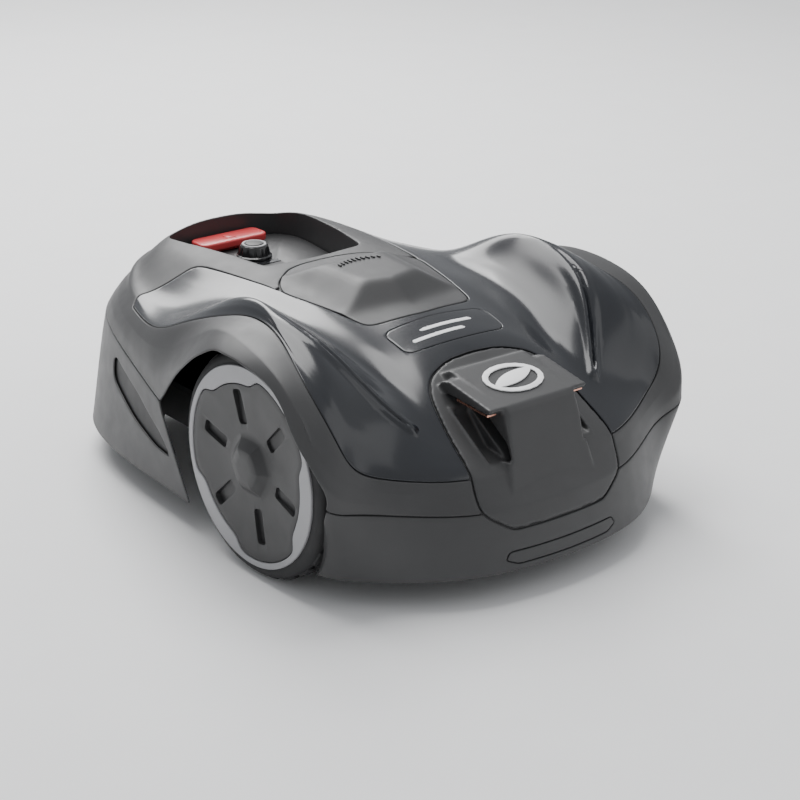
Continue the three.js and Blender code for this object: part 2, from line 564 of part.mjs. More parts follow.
function cutMotor() {
  const can = bar(MOTOR_R, 40, 0, CUT_Y, 84 + FIT);
  const neck = bar(MOTOR_R - 5, 20, 0, CUT_Y, 66);
  return can.add(neck).subtract(bar(6.5, 24, 0, CUT_Y, 65, 16));
}

function cutDisc() {
  const plate = bar(DISC_R, 3, 0, CUT_Y, DISC_Z, 48);
  const dish = bar(46, 8, 0, CUT_Y, DISC_Z + 2, ROUND, 36);
  const shaft = bar(6, 46, 0, CUT_Y, DISC_Z + 2, 16);
  const holes = unite(BLADE_TURNS.map((turn) => bladePin(turn, 2.6, DISC_Z - 5, 20)));
  return unite([plate, dish, shaft]).subtract(holes);
}

const BLADE_TURNS = [30, 150, 270];

function bladePin(turn, radius, z, height) {
  const angle = THREE.MathUtils.degToRad(turn);
  return bar(radius, height, BLADE_PIVOT_R * Math.cos(angle), CUT_Y + BLADE_PIVOT_R * Math.sin(angle), z, 12);
}

function bladeScrew(turn) {
  const head = bladePin(turn, 5.5, DISC_Z + 3 + FIT, 2.5);
  const shank = bladePin(turn, 2.3, DISC_Z - 3.4, 8);
  const foot = bladePin(turn, 4.5, DISC_Z - 5, 1.8);
  return unite([head, shank, foot]);
}

// Flat blade pivoted near one end, pointing outwards when it spins.
function blade(turn) {
  const hole = bar(2.9, 10, 0, 0, -5, 12);
  const plate = planPrism([[-6, -9], [BLADE_LENGTH - 10, -9], [BLADE_LENGTH - 7, -6], [BLADE_LENGTH - 7, 6],
    [BLADE_LENGTH - 10, 9], [-6, 9]], 0, 0.9);
  const angle = THREE.MathUtils.degToRad(turn);
  return plate.subtract(hole).rotate(0, 0, turn)
    .translate(BLADE_PIVOT_R * Math.cos(angle), CUT_Y + BLADE_PIVOT_R * Math.sin(angle), DISC_Z - 1.5);
}

function skidPlate() {
  const dish = bar(SKID_R, 3, 0, CUT_Y, DISC_Z - 12, 40);
  const post = bar(11, 10.5, 0, CUT_Y, DISC_Z - 11, 20);
  return dish.add(post);
}

// ---- Casters ------------------------------------------------------------------------------
function casterFork(sign) {
  const x = sign * CASTER_X;
  const wheelY = CASTER_Y + CASTER_TRAIL;
  const stem = bar(CASTER_STEM_R, 42, x, CASTER_Y, 78, 16);
  const washer = bar(12, 4, x, CASTER_Y, 79.6, 20);
  const bridge = box(CASTER_W + 14, 36, 8, x, CASTER_Y + 6, 72);
  const arms = unite([-1, 1].map((side) => box(4, 20, 48, x + side * (CASTER_W / 2 + 4), wheelY, 26)));
  const holes = crossBar(3.4, x - 30, x + 30, wheelY, CASTER_R, 12);
  return unite([stem, washer, bridge, arms]).subtract(holes);
}

function casterWheel(sign) {
  const x = sign * CASTER_X;
  const y = CASTER_Y + CASTER_TRAIL;
  const half = CASTER_W / 2;
  const shape = lathed([[3.9, -half], [CASTER_R - 5, -half], [CASTER_R, -half + 6], [CASTER_R, half - 6],
    [CASTER_R - 5, half], [3.9, half]], ROUND);
  return shape.translate(x, y, CASTER_R);
}

function casterPin(sign) {
  const x = sign * CASTER_X;
  const y = CASTER_Y + CASTER_TRAIL;
  const half = CASTER_W / 2 + 6.5;
  const shank = crossBar(3, x - half, x + half, y, CASTER_R, 12);
  const head = crossBar(5.5, x + half - 0.1, x + half + 2, y, CASTER_R, 12);
  return shank.add(head);
}

// ---- Assembly -----------------------------------------------------------------------------
const mower = new THREE.Group();

function place(name, manifold, material, parent = mower) {
  const mesh = new THREE.Mesh(geometryOf(manifold), material);
  mesh.name = name;
  parent.add(mesh);
  return mesh;
}

function addShell() {
  const shell = new THREE.Group();
  mower.add(shell);
  const pieces = shellPieces();
  place('body_shell', pieces.body, FINISH.matteShell(), shell);
  place('top_cover', pieces.cover, FINISH.glossCover(), shell);
  place('badge_plate', pieces.badge, FINISH.glossCover(), shell);
  place('hatch', pieces.hatch, FINISH.matteShell(), shell);
  place('nose_cover', pieces.nose, FINISH.matteShell(), shell);
  place('nose_emblem', noseEmblem(), FINISH.white(), shell);
  place('front_bumper', pieces.bumper, FINISH.matteShell(), shell);
  place('bumper_lip', pieces.lip, FINISH.matteShell(), shell);
  place('tail_cover', pieces.tail, FINISH.matteShell(), shell);
  for (const [side, sign] of SIDES) {
    place(`tail_scoop_${side}`, pieces.scoop(sign), FINISH.darkPlastic(), shell);
    place(`charging_strip_${side}`, chargingStrip(sign), FINISH.copper(), shell);
  }
}

function addWheels() {
  for (const [side, sign] of SIDES) {
    const wheel = new THREE.Group();
    wheel.position.set(0, AXLE_Y, WHEEL_R);
    if (sign < 0) wheel.rotation.z = Math.PI;
    mower.add(wheel);
    place(`tyre_${side}`, tyre(), FINISH.rubber(), wheel);
    place(`wheel_ring_${side}`, wheelRing(), FINISH.silver(), wheel);
    place(`wheel_cap_${side}`, wheelCap(), FINISH.wheelCap(), wheel);
    place(`drive_axle_${side}`, driveAxle(), FINISH.steel(), wheel);
  }
}

function addChassis() {
  place('chassis_tub', chassisTub(), FINISH.darkPlastic());
  place('chassis_lid', chassisLid(), FINISH.darkPlastic());
  place('console_panel', consolePanel(), FINISH.matteShell());
  place('status_window', box(35, 9, 2.2, 0, KNOB_Y - 26, CONSOLE_TOP_Z - 2 + FIT), FINISH.glass());
  place('battery_pack', box(180, 74, 34, 0, -234, TUB_FLOOR_Z + TUB_WALL + FIT), FINISH.battery());
  place('main_board', box(150, 90, 2, 0, 205, 96), FINISH.board());
  place('radar_sensor', box(60, 14, 20, 0, -270, LID_TOP_Z + FIT), FINISH.darkPlastic());
  for (const [side, sign] of SIDES) {
    place(`gear_motor_${side}`, gearMotor(sign), FINISH.darkPlastic());
    place(`shell_mount_front_${side}`, bar(9, 36, sign * 96, -214, LID_TOP_Z + FIT, 16), FINISH.rubber());
    place(`shell_mount_rear_${side}`, bar(9, 68, sign * 118, 180, LID_TOP_Z + FIT, 16), FINISH.rubber());
  }
}

function addControls() {
  place('stop_button', stopButton(), FINISH.red());
  place('dial_skirt', dialSkirt(), FINISH.darkPlastic());
  place('dial_button', dialButton(), FINISH.silver());
}

function addCuttingUnit() {
  place('cut_carriage', cutCarriage(), FINISH.darkPlastic());
  place('cut_motor', cutMotor(), FINISH.steel());
  place('cut_disc', cutDisc(), FINISH.steel());
  place('skid_plate', skidPlate(), FINISH.darkPlastic());
  BLADE_TURNS.forEach((turn, i) => {
    place(`blade_${i + 1}`, blade(turn), FINISH.steel());
    place(`blade_screw_${i + 1}`, bladeScrew(turn), FINISH.steel());
  });
}

function addCasters() {
  for (const [side, sign] of SIDES) {
    place(`caster_fork_${side}`, casterFork(sign), FINISH.darkPlastic());
    place(`caster_wheel_${side}`, casterWheel(sign), FINISH.rubber());
    place(`caster_pin_${side}`, casterPin(sign), FINISH.steel());
  }
}

addShell();
addWheels();
addChassis();
addControls();
addCuttingUnit();
addCasters();

export default mower;
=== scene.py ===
"""Robotic lawn mower: covers, wheels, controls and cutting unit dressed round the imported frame."""

import logging
import math
from collections.abc import Callable
from dataclasses import dataclass, field
from enum import Enum

import bmesh
import bpy
import numpy as np
from mathutils import Matrix, Vector

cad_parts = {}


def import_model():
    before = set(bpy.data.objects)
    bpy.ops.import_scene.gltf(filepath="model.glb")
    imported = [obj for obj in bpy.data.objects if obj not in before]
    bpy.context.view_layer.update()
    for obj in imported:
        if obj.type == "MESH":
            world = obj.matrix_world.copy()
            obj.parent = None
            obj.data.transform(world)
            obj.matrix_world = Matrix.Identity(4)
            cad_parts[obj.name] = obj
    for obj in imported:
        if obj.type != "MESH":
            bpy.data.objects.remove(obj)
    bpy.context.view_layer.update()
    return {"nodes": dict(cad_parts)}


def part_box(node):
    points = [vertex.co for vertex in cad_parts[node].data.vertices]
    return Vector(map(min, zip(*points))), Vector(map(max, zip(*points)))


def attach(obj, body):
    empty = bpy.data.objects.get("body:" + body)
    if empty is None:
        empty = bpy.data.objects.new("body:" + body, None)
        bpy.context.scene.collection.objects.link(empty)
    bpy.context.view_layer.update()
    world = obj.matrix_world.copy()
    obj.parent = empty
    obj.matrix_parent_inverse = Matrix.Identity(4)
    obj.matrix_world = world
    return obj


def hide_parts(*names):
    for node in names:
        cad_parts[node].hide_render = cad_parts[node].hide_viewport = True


LOG = logging.getLogger("mower")
MM = 0.001
NET_SHIFT = -17.5
AXLE_Y = -127.5
WHEEL_R = 121.5
SHELL_LIFT = 8.5
WHEEL_REACH_X = (197, 247)
HUB_REACH = 80
NOSE_BACK_Y = -155
LIP_BACK_Y = -250
BUMPER_BACK_Y = -60
TAIL_FRONT_Y = -10
ARCH_SIDE_X = 240
ARCH_LOWER_SIDE_X = 215
UNDERSIDE_Z = 60
FAR_AWAY = 99.0
CLOUD_SCALE = 11.0
SMEAR_SCALE = 46.0
BUMP_DEPTH = 0.0004
COAT_ROUGHNESS = 0.12


# ---- Finishes ------------------------------------------------------------------------------


@dataclass(frozen=True)
class Finish:
    """A surface finish with its small-scale detail, drawn on object coordinates."""

    name: str
    colour: tuple[float, float, float]
    roughness: float
    drift: float = 0.10
    grain: float = 900.0
    relief: float = 0.12
    metallic: float = 0.0
    coat: float = 0.0
    stretch: tuple[float, float, float] = (1.0, 1.0, 1.0)
    spread: float = 0.10

    def material(self) -> bpy.types.Material:
        """Makes the node material once and returns it.

        Returns:
            The material, shared by every piece with this finish.
        """
        title = f"{self.name}_finish"
        found = bpy.data.materials.get(title)
        if found is not None:
            return found
        made = bpy.data.materials.new(title)
        made.use_nodes = True
        nodes, links = made.node_tree.nodes, made.node_tree.links
        shader = nodes["Principled BSDF"]
        shader.inputs["Metallic"].default_value = self.metallic
        shader.inputs["Coat Weight"].default_value = self.coat
        shader.inputs["Coat Roughness"].default_value = COAT_ROUGHNESS
        place = nodes.new("ShaderNodeTexCoord")
        stretch = nodes.new("ShaderNodeMapping")
        stretch.inputs["Scale"].default_value = self.stretch
        links.new(place.outputs["Object"], stretch.inputs["Vector"])
        cloud = self._noise(made, stretch, CLOUD_SCALE, 4.0)
        grain = self._noise(made, stretch, self.grain, 2.0)
        smear = self._noise(made, stretch, SMEAR_SCALE, 5.0)
        links.new(self._blend(made, cloud, grain), shader.inputs["Base Color"])
        rough = nodes.new("ShaderNodeMapRange")
        rough.inputs["To Min"].default_value = max(0.02, self.roughness - self.spread)
        rough.inputs["To Max"].default_value = min(1.0, self.roughness + self.spread)
        links.new(smear.outputs["Fac"], rough.inputs["Value"])
        links.new(rough.outputs["Result"], shader.inputs["Roughness"])
        bump = nodes.new("ShaderNodeBump")
        bump.inputs["Strength"].default_value = self.relief
        bump.inputs["Distance"].default_value = BUMP_DEPTH
        links.new(grain.outputs["Fac"], bump.inputs["Height"])
        links.new(bump.outputs["Normal"], shader.inputs["Normal"])
        return made

    @staticmethod
    def _noise(
        made: bpy.types.Material, source: bpy.types.Node, scale: float, detail: float
    ) -> bpy.types.Node:
        """Adds a noise pattern.

        Args:
            made: Material that gets the node.
            source: Node that gives the coordinates.
            scale: Cycles in a metre.
            detail: Octaves of the pattern.

        Returns:
            The noise node.
        """
        noise = made.node_tree.nodes.new("ShaderNodeTexNoise")
        noise.inputs["Scale"].default_value = scale
        noise.inputs["Detail"].default_value = detail
        made.node_tree.links.new(source.outputs["Vector"], noise.inputs["Vector"])
        return noise

    def _blend(
        self, made: bpy.types.Material, cloud: bpy.types.Node, grain: bpy.types.Node
    ) -> bpy.types.NodeSocket:
        """Colours the surface between a darker and a lighter shade of the finish.

        Args:
            made: Material that gets the nodes.
            cloud: Wide pattern, over a hand's width.
            grain: Fine pattern of the moulded grain.

        Returns:
            The colour socket.
        """
        nodes, links = made.node_tree.nodes, made.node_tree.links
        mix = nodes.new("ShaderNodeMath")
        mix.operation = "MULTIPLY_ADD"
        mix.inputs[1].default_value = 0.35
        links.new(grain.outputs["Fac"], mix.inputs[0])
        links.new(cloud.outputs["Fac"], mix.inputs[2])
        ramp = nodes.new("ShaderNodeValToRGB")
        low, high = ramp.color_ramp.elements
        low.position, high.position = 0.45, 0.9
        low.color = (*[c * (1 - self.drift) for c in self.colour], 1)
        high.color = (*[min(1, c * (1 + self.drift)) for c in self.colour], 1)
        links.new(mix.outputs["Value"], ramp.inputs["Fac"])
        return ramp.outputs["Color"]


MATTE_SHELL = Finish("matte_shell", (0.039, 0.039, 0.040), 0.46, relief=0.10)
GLOSS_COVER = Finish(
    "gloss_cover", (0.010, 0.0115, 0.015), 0.22, drift=0.06, relief=0.01, coat=0.25, spread=0.03
)
DARK_PLASTIC = Finish("dark_plastic", (0.018, 0.018, 0.019), 0.55, relief=0.15)
CAP_PLASTIC = Finish("wheel_cap", (0.021, 0.021, 0.022), 0.42, relief=0.12)
SILVER_TRIM = Finish("silver_trim", (0.29, 0.29, 0.30), 0.36, drift=0.05, metallic=0.15, relief=0.05)
TYRE_RUBBER = Finish("tyre_rubber", (0.022, 0.022, 0.023), 0.78, relief=0.35, grain=600.0)
SOFT_RUBBER = Finish("mount_rubber", (0.015, 0.015, 0.015), 0.85, relief=0.3)
STOP_RED = Finish("stop_red", (0.62, 0.055, 0.06), 0.34, drift=0.05, relief=0.05, coat=0.25)
EMBLEM_WHITE = Finish("emblem_white", (0.88, 0.88, 0.88), 0.42, drift=0.02, relief=0.04)
COPPER = Finish("contact_copper", (0.70, 0.36, 0.27), 0.28, metallic=1.0, relief=0.06, stretch=(1, 14, 14))
STEEL = Finish("brushed_steel", (0.46, 0.47, 0.48), 0.30, metallic=1.0, relief=0.10, stretch=(1, 1, 20))
BLADE_STEEL = Finish("blade_steel", (0.55, 0.55, 0.56), 0.22, metallic=1.0, relief=0.12, stretch=(3, 30, 3))
BOARD_GREEN = Finish("circuit_board", (0.015, 0.11, 0.05), 0.40, drift=0.35, grain=420.0, relief=0.3)
KNOB_BLACK = Finish("knob_black", (0.012, 0.012, 0.013), 0.22, drift=0.05, relief=0.04, coat=0.4, spread=0.06)
WINDOW_GLASS = Finish(
    "window_glass", (0.008, 0.008, 0.010), 0.06, drift=0.03, relief=0.01, coat=1.0, spread=0.02
)
CASE_PLASTIC = Finish("battery_case", (0.04, 0.05, 0.065), 0.5, relief=0.2, grain=500.0)

CARRIED_FINISH = {
    "drive_axle": STEEL,
    "status_window": WINDOW_GLASS,
    "battery_pack": CASE_PLASTIC,
    "main_board": BOARD_GREEN,
    "shell_mount": SOFT_RUBBER,
    "cut_motor": STEEL,
    "cut_disc": STEEL,
    "blade_screw": STEEL,
    "blade": BLADE_STEEL,
    "caster_wheel": TYRE_RUBBER,
    "caster_pin": STEEL,
    "charging_strip": COPPER,
}


# ---- Outlines and zones --------------------------------------------------------------------


class View(Enum):
    """Direction an outline is drawn in, as the two coordinates it uses."""

    PLAN = (0, 1)
    SIDE = (1, 2)
    FRONT = (0, 2)


def mirrored(points: list[tuple[float, float]]) -> list[tuple[float, float]]:
    """Completes the right half of an outline with its mirror image.

    Args:
        points: Corners of the half with x from 0 upwards.

    Returns:
        Corners of the whole outline.
    """
    return [*points, *[(-x, b) for x, b in reversed(points) if x != 0]]


def shifted(points: list[tuple[float, float]]) -> list[tuple[float, float]]:
    """Moves plan points from the net's zero to the middle of the length."""
    return [(x, y + NET_SHIFT) for x, y in points]


def along_net(points: list[tuple[float, float]]) -> list[tuple[float, float]]:
    """Moves side-view points from the net's zero to the middle of the length."""
    return [(y + NET_SHIFT, z) for y, z in points]


@dataclass
class Zone:
    """Part of the body's skin inside an outline drawn from one direction."""

    corners: list[tuple[float, float]]
    view: View
    radius: float = 6.0
    edge: np.ndarray = field(init=False)

    def __post_init__(self) -> None:
        """Rounds the outline's corners."""
        self.edge = self._rounded()

    def _rounded(self) -> np.ndarray:
        """Replaces each corner by a short curve.

        Returns:
            The rounded outline, one point a row.
        """
        corners = np.array(self.corners, float)
        out = []
        for i, here in enumerate(corners):
            before, after = corners[i - 1] - here, corners[(i + 1) % len(corners)] - here
            back = min(self.radius, np.linalg.norm(before) * 0.48)
            ahead = min(self.radius, np.linalg.norm(after) * 0.48)
            start = here + before / np.linalg.norm(before) * back
            end = here + after / np.linalg.norm(after) * ahead
            for t in np.linspace(0, 1, 6):
                out.append(start * (1 - t) ** 2 + here * 2 * t * (1 - t) + end * t * t)
        return np.array(out)

    def distance(self, points: np.ndarray, normals: np.ndarray) -> np.ndarray:
        """Measures along the skin how far points are from the outline.

        Args:
            points: Places on the skin, one a row.
            normals: Unit normals there.

        Returns:
            Millimetres, negative inside.
        """
        a, b = self.view.value
        flat = points[:, [a, b]]
        nearest = np.full(len(flat), np.inf)
        towards = np.zeros_like(flat)
        inside = np.zeros(len(flat), bool)
        for p, q in zip(self.edge, np.roll(self.edge, -1, axis=0)):
            side = q - p
            long = float(side @ side)
            if long < 1e-9:
                continue
            t = np.clip((flat - p) @ side / long, 0, 1)
            away = flat - (p + t[:, None] * side)
            far = (away**2).sum(1)
            better = far < nearest
            nearest = np.where(better, far, nearest)
            towards[better] = away[better]
            if abs(side[1]) > 1e-12:
                spans = (p[1] > flat[:, 1]) != (q[1] > flat[:, 1])
                cross = p[0] + (flat[:, 1] - p[1]) * side[0] / side[1]
                inside ^= spans & (flat[:, 0] < cross)
        nearest = np.sqrt(nearest)
        way = towards / np.maximum(nearest, 1e-9)[:, None]
        lean = (way * normals[:, [a, b]]).sum(1)
        slope = np.sqrt(np.maximum(0.0, 1 - lean**2))
        return np.where(inside, -nearest, nearest) / np.maximum(slope, 0.4)


COVER_INNER = Zone(mirrored(shifted([
    (0, -400), (400, -400), (400, 168), (202, 178), (185, 196), (175, 201), (150, 188), (119, 178),
    (113, 165), (103, 88), (95.5, 36), (0, 36),
])), View.PLAN, 9.0)
HATCH = Zone(mirrored(shifted([
    (0, -90), (62, -84), (70, -80), (74, -72), (95.5, 30), (95, 40), (84, 60), (52, 86), (26, 94), (0, 96),
])), View.PLAN, 10.0)
RECESS = Zone(mirrored(shifted([
    (0, 107), (60, 107), (68, 111), (78, 165), (90, 240), (90, 268), (77, 291), (54, 298), (0, 301),
])), View.PLAN, 10.0)
NOSE = Zone(mirrored([
    (0, 73), (58, 73), (66, 75), (97, 95), (98, 128), (93, 153), (88, 174), (81, 189), (66, 200),
    (36, 207), (0, 209),
]), View.FRONT, 12.0)
LIP = Zone(mirrored([(0, 39), (62, 39), (76, 45), (70, 52), (0, 52)]), View.FRONT, 3.0)
BADGE = Zone(mirrored(shifted([
    (0, -147), (60, -145), (68, -139), (69, -110), (62, -102), (0, -99),
])), View.PLAN, 6.0)
ARCH = Zone(along_net([
    (-196, 10), (-198, 35), (-218, 80), (-240, 119), (-240, 135), (-228, 158), (-198, 191), (-182, 211),
    (-161, 226), (-138, 234), (-105, 241), (-70, 241), (-35, 221), (0, 193), (44, 152), (62, 137), (38, 85),
    (15, 33), (12, 10),
]), View.SIDE, 12.0)
ARCH_LOWER = Zone(along_net([
    (-196, 10), (-198, 35), (-218, 80), (-240, 119), (-240, 135), (-232, 152), (44, 152), (62, 137), (38, 85),
    (15, 33), (12, 10),
]), View.SIDE, 9.0)
SCOOP = Zone(along_net([
    (46, 76), (66, 98), (120, 128), (188, 146), (200, 140), (196, 118), (130, 92), (80, 78),
]), View.SIDE, 10.0)


# ---- Body net ------------------------------------------------------------------------------

# Ribs of the right half of the body, from nose to tail, each rising from the lower edge:
# edge, crease, two wall points, cover seam, shoulder, fender crest, valley, hood edge, spine.
RIBS = np.array([
    [(0, -325, 33), (0, -309, 95), (0, -302, 106), (0, -296, 117), (0, -289, 128),
     (0, -273, 142), (0, -255, 153), (0, -222, 176), (0, -192, 196), (0, -163, 211)],
    [(50, -321, 33), (55, -306, 95), (55, -300, 106), (55, -294, 117), (55, -288, 128),
     (54, -272, 142), (52, -254, 153), (50, -221, 176), (46, -191, 195), (0, -150, 217)],
    [(88, -315, 33), (99, -299, 95), (99, -294, 106), (98, -289, 117), (97, -285, 128),
     (95, -268, 142), (93, -250, 153), (88, -215, 177), (80, -175, 201), (0, -135, 221)],
    [(126, -302, 33), (138, -281, 98), (140, -276, 109), (141, -272, 120), (140, -268, 131),
     (131, -246, 152), (118, -222, 168), (103, -196, 185), (83, -158, 206), (0, -118, 225)],
    [(153, -286, 33), (174, -261, 102), (177, -257, 113), (178, -253, 125), (176, -248, 137),
     (162, -222, 168), (143, -193, 196), (117, -172, 193), (86, -140, 212), (0, -100, 229)],
    [(178, -268, 33), (205, -246, 107), (208, -244, 120), (208, -241, 133), (205, -235, 146),
     (192, -214, 192), (165, -166, 231), (128, -146, 208), (88, -118, 219), (0, -80, 232)],
    [(206, -243, 33), (229, -247, 113), (234, -248, 129), (232, -243, 149), (219, -234, 168),
     (204, -202, 216), (176, -135, 254), (138, -115, 221), (88, -92, 225), (0, -60, 235)],
    [(226, -222, 33), (250, -244, 119), (253, -238, 148), (248, -217, 182), (226, -213, 203),
     (208, -160, 243), (180, -88, 268), (141, -80, 229), (88, -62, 230), (0, -35, 238)],
    [(232, -200, 33), (253, -215, 135), (258, -178, 214), (248, -180, 236), (228, -168, 239),
     (210, -120, 256), (183, -62, 272), (143, -52, 233), (89, -38, 233), (0, -15, 240)],
    [(236, -150, 33), (253, -130, 125), (262, -105, 243), (243, -103, 251), (203, -108, 256),
     (194, -75, 268), (183, -38, 273), (144, -28, 234), (90, -18, 235), (0, 5, 241)],
    [(238, -70, 33), (252, -60, 125), (262, -62, 241), (236, -60, 254), (202, -58, 263),
     (194, -35, 268), (182, -10, 267), (143, -5, 235), (92, 0, 236), (0, 25, 242)],
    [(238, 0, 33), (250, 5, 130), (259, -5, 199), (230, -18, 243), (203, -6, 246),
     (193, 8, 253), (180, 28, 250), (141, 22, 235), (95, 30, 238), (0, 50, 242)],
    [(236, 40, 35), (242, 62, 138), (243, 58, 165), (236, 54, 194), (215, 50, 228),
     (198, 62, 229), (180, 68, 225), (140, 62, 234), (98, 65, 240), (0, 85, 242)],
    [(234, 95, 35), (238, 98, 152), (237, 96, 172), (233, 92, 190), (223, 88, 205),
     (202, 98, 210), (176, 108, 212), (141, 106, 229), (103, 110, 240), (0, 125, 242)],
    [(229, 160, 35), (222, 165, 162), (219, 163, 176), (213, 160, 189), (203, 156, 200),
     (190, 158, 206), (172, 160, 208), (140, 158, 223), (107, 160, 240), (0, 170, 242)],
    [(219, 225, 35), (204, 222, 168), (200, 218, 180), (194, 214, 190), (186, 208, 199),
     (178, 206, 206), (165, 205, 209), (136, 203, 225), (108, 208, 239), (0, 215, 242)],
    [(198, 285, 35), (178, 276, 170), (173, 271, 182), (167, 264, 193), (160, 257, 203),
     (156, 254, 210), (147, 250, 214), (126, 246, 228), (103, 252, 239), (0, 250, 242)],
    [(160, 333, 35), (142, 318, 170), (137, 312, 183), (131, 305, 196), (124, 298, 208),
     (121, 296, 216), (114, 291, 220), (103, 285, 231), (90, 277, 239), (0, 270, 242)],
    [(100, 355, 35), (88, 341, 168), (84, 335, 182), (79, 328, 197), (73, 321, 210),
     (70, 318, 218), (67, 314, 222), (60, 307, 232), (50, 300, 240), (0, 286, 242)],
    [(0, 360, 35), (0, 348, 166), (0, 342, 181), (0, 336, 195), (0, 330, 208),
     (0, 328, 216), (0, 324, 220), (0, 317, 231), (0, 309, 240), (0, 298, 243)],
], float)
CREASE = (0, 0.85, 0.2, 0.5, 0.3, 0, 0.35, 0, 0, 0)
EDGE_LEVEL = 1
SEAM_LEVEL = 4
HOOD_LEVEL = 8
SPINE_LEVEL = 9
FLIP = np.array([-1.0, 1.0, 1.0])


def along(knots: np.ndarray, steps: int, sharpness: tuple[float, ...]) -> np.ndarray:
    """Draws smooth lines through knots, turning at each knot as sharply as asked.

    Args:
        knots: Knots along the first axis, with any number of lines side by side.
        steps: Pieces between neighbouring knots.
        sharpness: 0 for a smooth turn and 1 for a corner, one for each knot.

    Returns:
        Points along the first axis.
    """
    chords = np.diff(knots, axis=0)
    lengths = np.maximum(np.linalg.norm(chords, axis=-1, keepdims=True), 1e-9)
    last = len(knots) - 1
    fractions = np.linspace(0, 1, steps, endpoint=False)[:, None, None]

    def tangent(k: int, own: int) -> np.ndarray:
        if k in (0, last):
            return chords[own]
        back, ahead = lengths[k - 1], lengths[k]
        smooth = (chords[k - 1] * ahead / back + chords[k] * back / ahead) * lengths[own] / (back + ahead)
        return smooth + (chords[own] - smooth) * sharpness[k]

    out = []
    for i in range(last):
        t = fractions
        t2, t3 = t * t, t**3
        out.append(
            knots[i] * (2 * t3 - 3 * t2 + 1)
            + tangent(i, i) * (t3 - 2 * t2 + t)
            + knots[i + 1] * (3 * t2 - 2 * t3)
            + tangent(i + 1, i) * (t3 - t2)
        )
    out.append(knots[-1][None])
    return np.concatenate(out)


def smooth_step(value: np.ndarray) -> np.ndarray:
    """Eases from 0 to 1 as the value does."""
    held = np.clip(value, 0, 1)
    return held * held * (3 - 2 * held)


@dataclass
class BodyNet:
    """Fine skin of the whole body, from which every cover is cut."""

    rib_steps: int = 16
    level_steps: int = 15
    fairing: float = 9.0
    across: float = 4.5
    feather: int = 6
    points: np.ndarray = field(init=False)
    normals: np.ndarray = field(init=False)
    faces: np.ndarray = field(init=False)
    climbs: dict[int, np.ndarray] = field(init=False)

    def __post_init__(self) -> None:
        """Draws the skin and its normals."""
        ribs = RIBS + np.array([0, NET_SHIFT, 0])
        levels = np.swapaxes(ribs, 0, 1)
        phantom = levels[HOOD_LEVEL] * FLIP
        levels = np.concatenate([levels, phantom[None]])
        rows = along(levels, self.level_steps, (*CREASE, 0))[: SPINE_LEVEL * self.level_steps + 1]
        by_rib = np.swapaxes(rows, 0, 1)
        by_rib = np.concatenate([by_rib[1:2] * FLIP, by_rib, by_rib[-2:-1] * FLIP])
        half = along(by_rib, self.rib_steps, (0,) * len(by_rib))[self.rib_steps : -self.rib_steps]
        half[[0, -1], :, 0] = 0
        self._close(self._faired(half))

    def _faired(self, half: np.ndarray) -> np.ndarray:
        """Evens out small waves along the body between neighbouring ribs.

        Args:
            half: Grid of points, columns from nose to tail and rows upwards.

        Returns:
            The evened grid.
        """
        reach = int(self.fairing * 3)
        weights = self._weights(self.fairing)
        padded = np.concatenate([half[reach:0:-1] * FLIP, half, half[-2 : -reach - 2 : -1] * FLIP])
        out = sum(w * padded[i : i + len(half)] for i, w in enumerate(weights))
        span = int(self.across * 3)
        low = (SEAM_LEVEL + 1) * self.level_steps - self.feather
        high = (HOOD_LEVEL - 1) * self.level_steps + self.feather
        weights = self._weights(self.across)
        evened = sum(w * out[:, low + i - span : high + i - span] for i, w in enumerate(weights))
        row = np.arange(high - low)
        ramp = np.minimum(1, np.minimum(row, row[::-1]) / self.feather)[None, :, None]
        out[:, low:high] += (evened - out[:, low:high]) * ramp
        out[[0, -1], :, 0] = 0
        return out

    @staticmethod
    def _weights(width: float) -> np.ndarray:
        """Shares of a bell curve out to three times its width."""
        reach = int(width * 3)
        weights = np.exp(-0.5 * (np.arange(-reach, reach + 1) / width) ** 2)
        return weights / weights.sum()

    def _close(self, half: np.ndarray) -> None:
        """Joins the half to its mirror image.

        Args:
            half: Grid of points, columns from nose to tail and rows upwards.
        """
        columns, rows = half.shape[:2]
        whole = np.concatenate([half, half[-2:0:-1] * FLIP])
        climb = np.cumsum(np.linalg.norm(np.diff(whole, axis=1, prepend=whole[:, :1]), axis=2), axis=1)
        self.climbs = {
            level: (climb - climb[:, level * self.level_steps, None]).reshape(-1)
            for level in (EDGE_LEVEL, SEAM_LEVEL)
        }
        around = len(whole)
        index = np.arange(around * rows).reshape(around, rows)
        index[columns:, -1] = index[columns - 2 : 0 : -1, -1]
        ahead = np.roll(index, -1, axis=0)
        a, b, c, d = index[:, :-1], ahead[:, :-1], ahead[:, 1:], index[:, 1:]
        first = np.stack([a, b, c], -1).reshape(-1, 3)
        second = np.stack([a, c, d], -1).reshape(-1, 3)
        self.points = whole.reshape(-1, 3)
        self.faces = np.concatenate([first, second])
        self.normals = vertex_normals(self.points, self.faces)


def vertex_normals(points: np.ndarray, faces: np.ndarray) -> np.ndarray:
    """Averages face normals at each point.

    Args:
        points: One point a row.
        faces: Three indices a row.

    Returns:
        Unit normals, one a row.
    """
    corners = points[faces]
    cross = np.cross(corners[:, 1] - corners[:, 0], corners[:, 2] - corners[:, 0])
    total = np.zeros_like(points)
    for k in range(3):
        np.add.at(total, faces[:, k], cross)
    return total / np.maximum(np.linalg.norm(total, axis=1, keepdims=True), 1e-12)


# ---- Mesh making ---------------------------------------------------------------------------


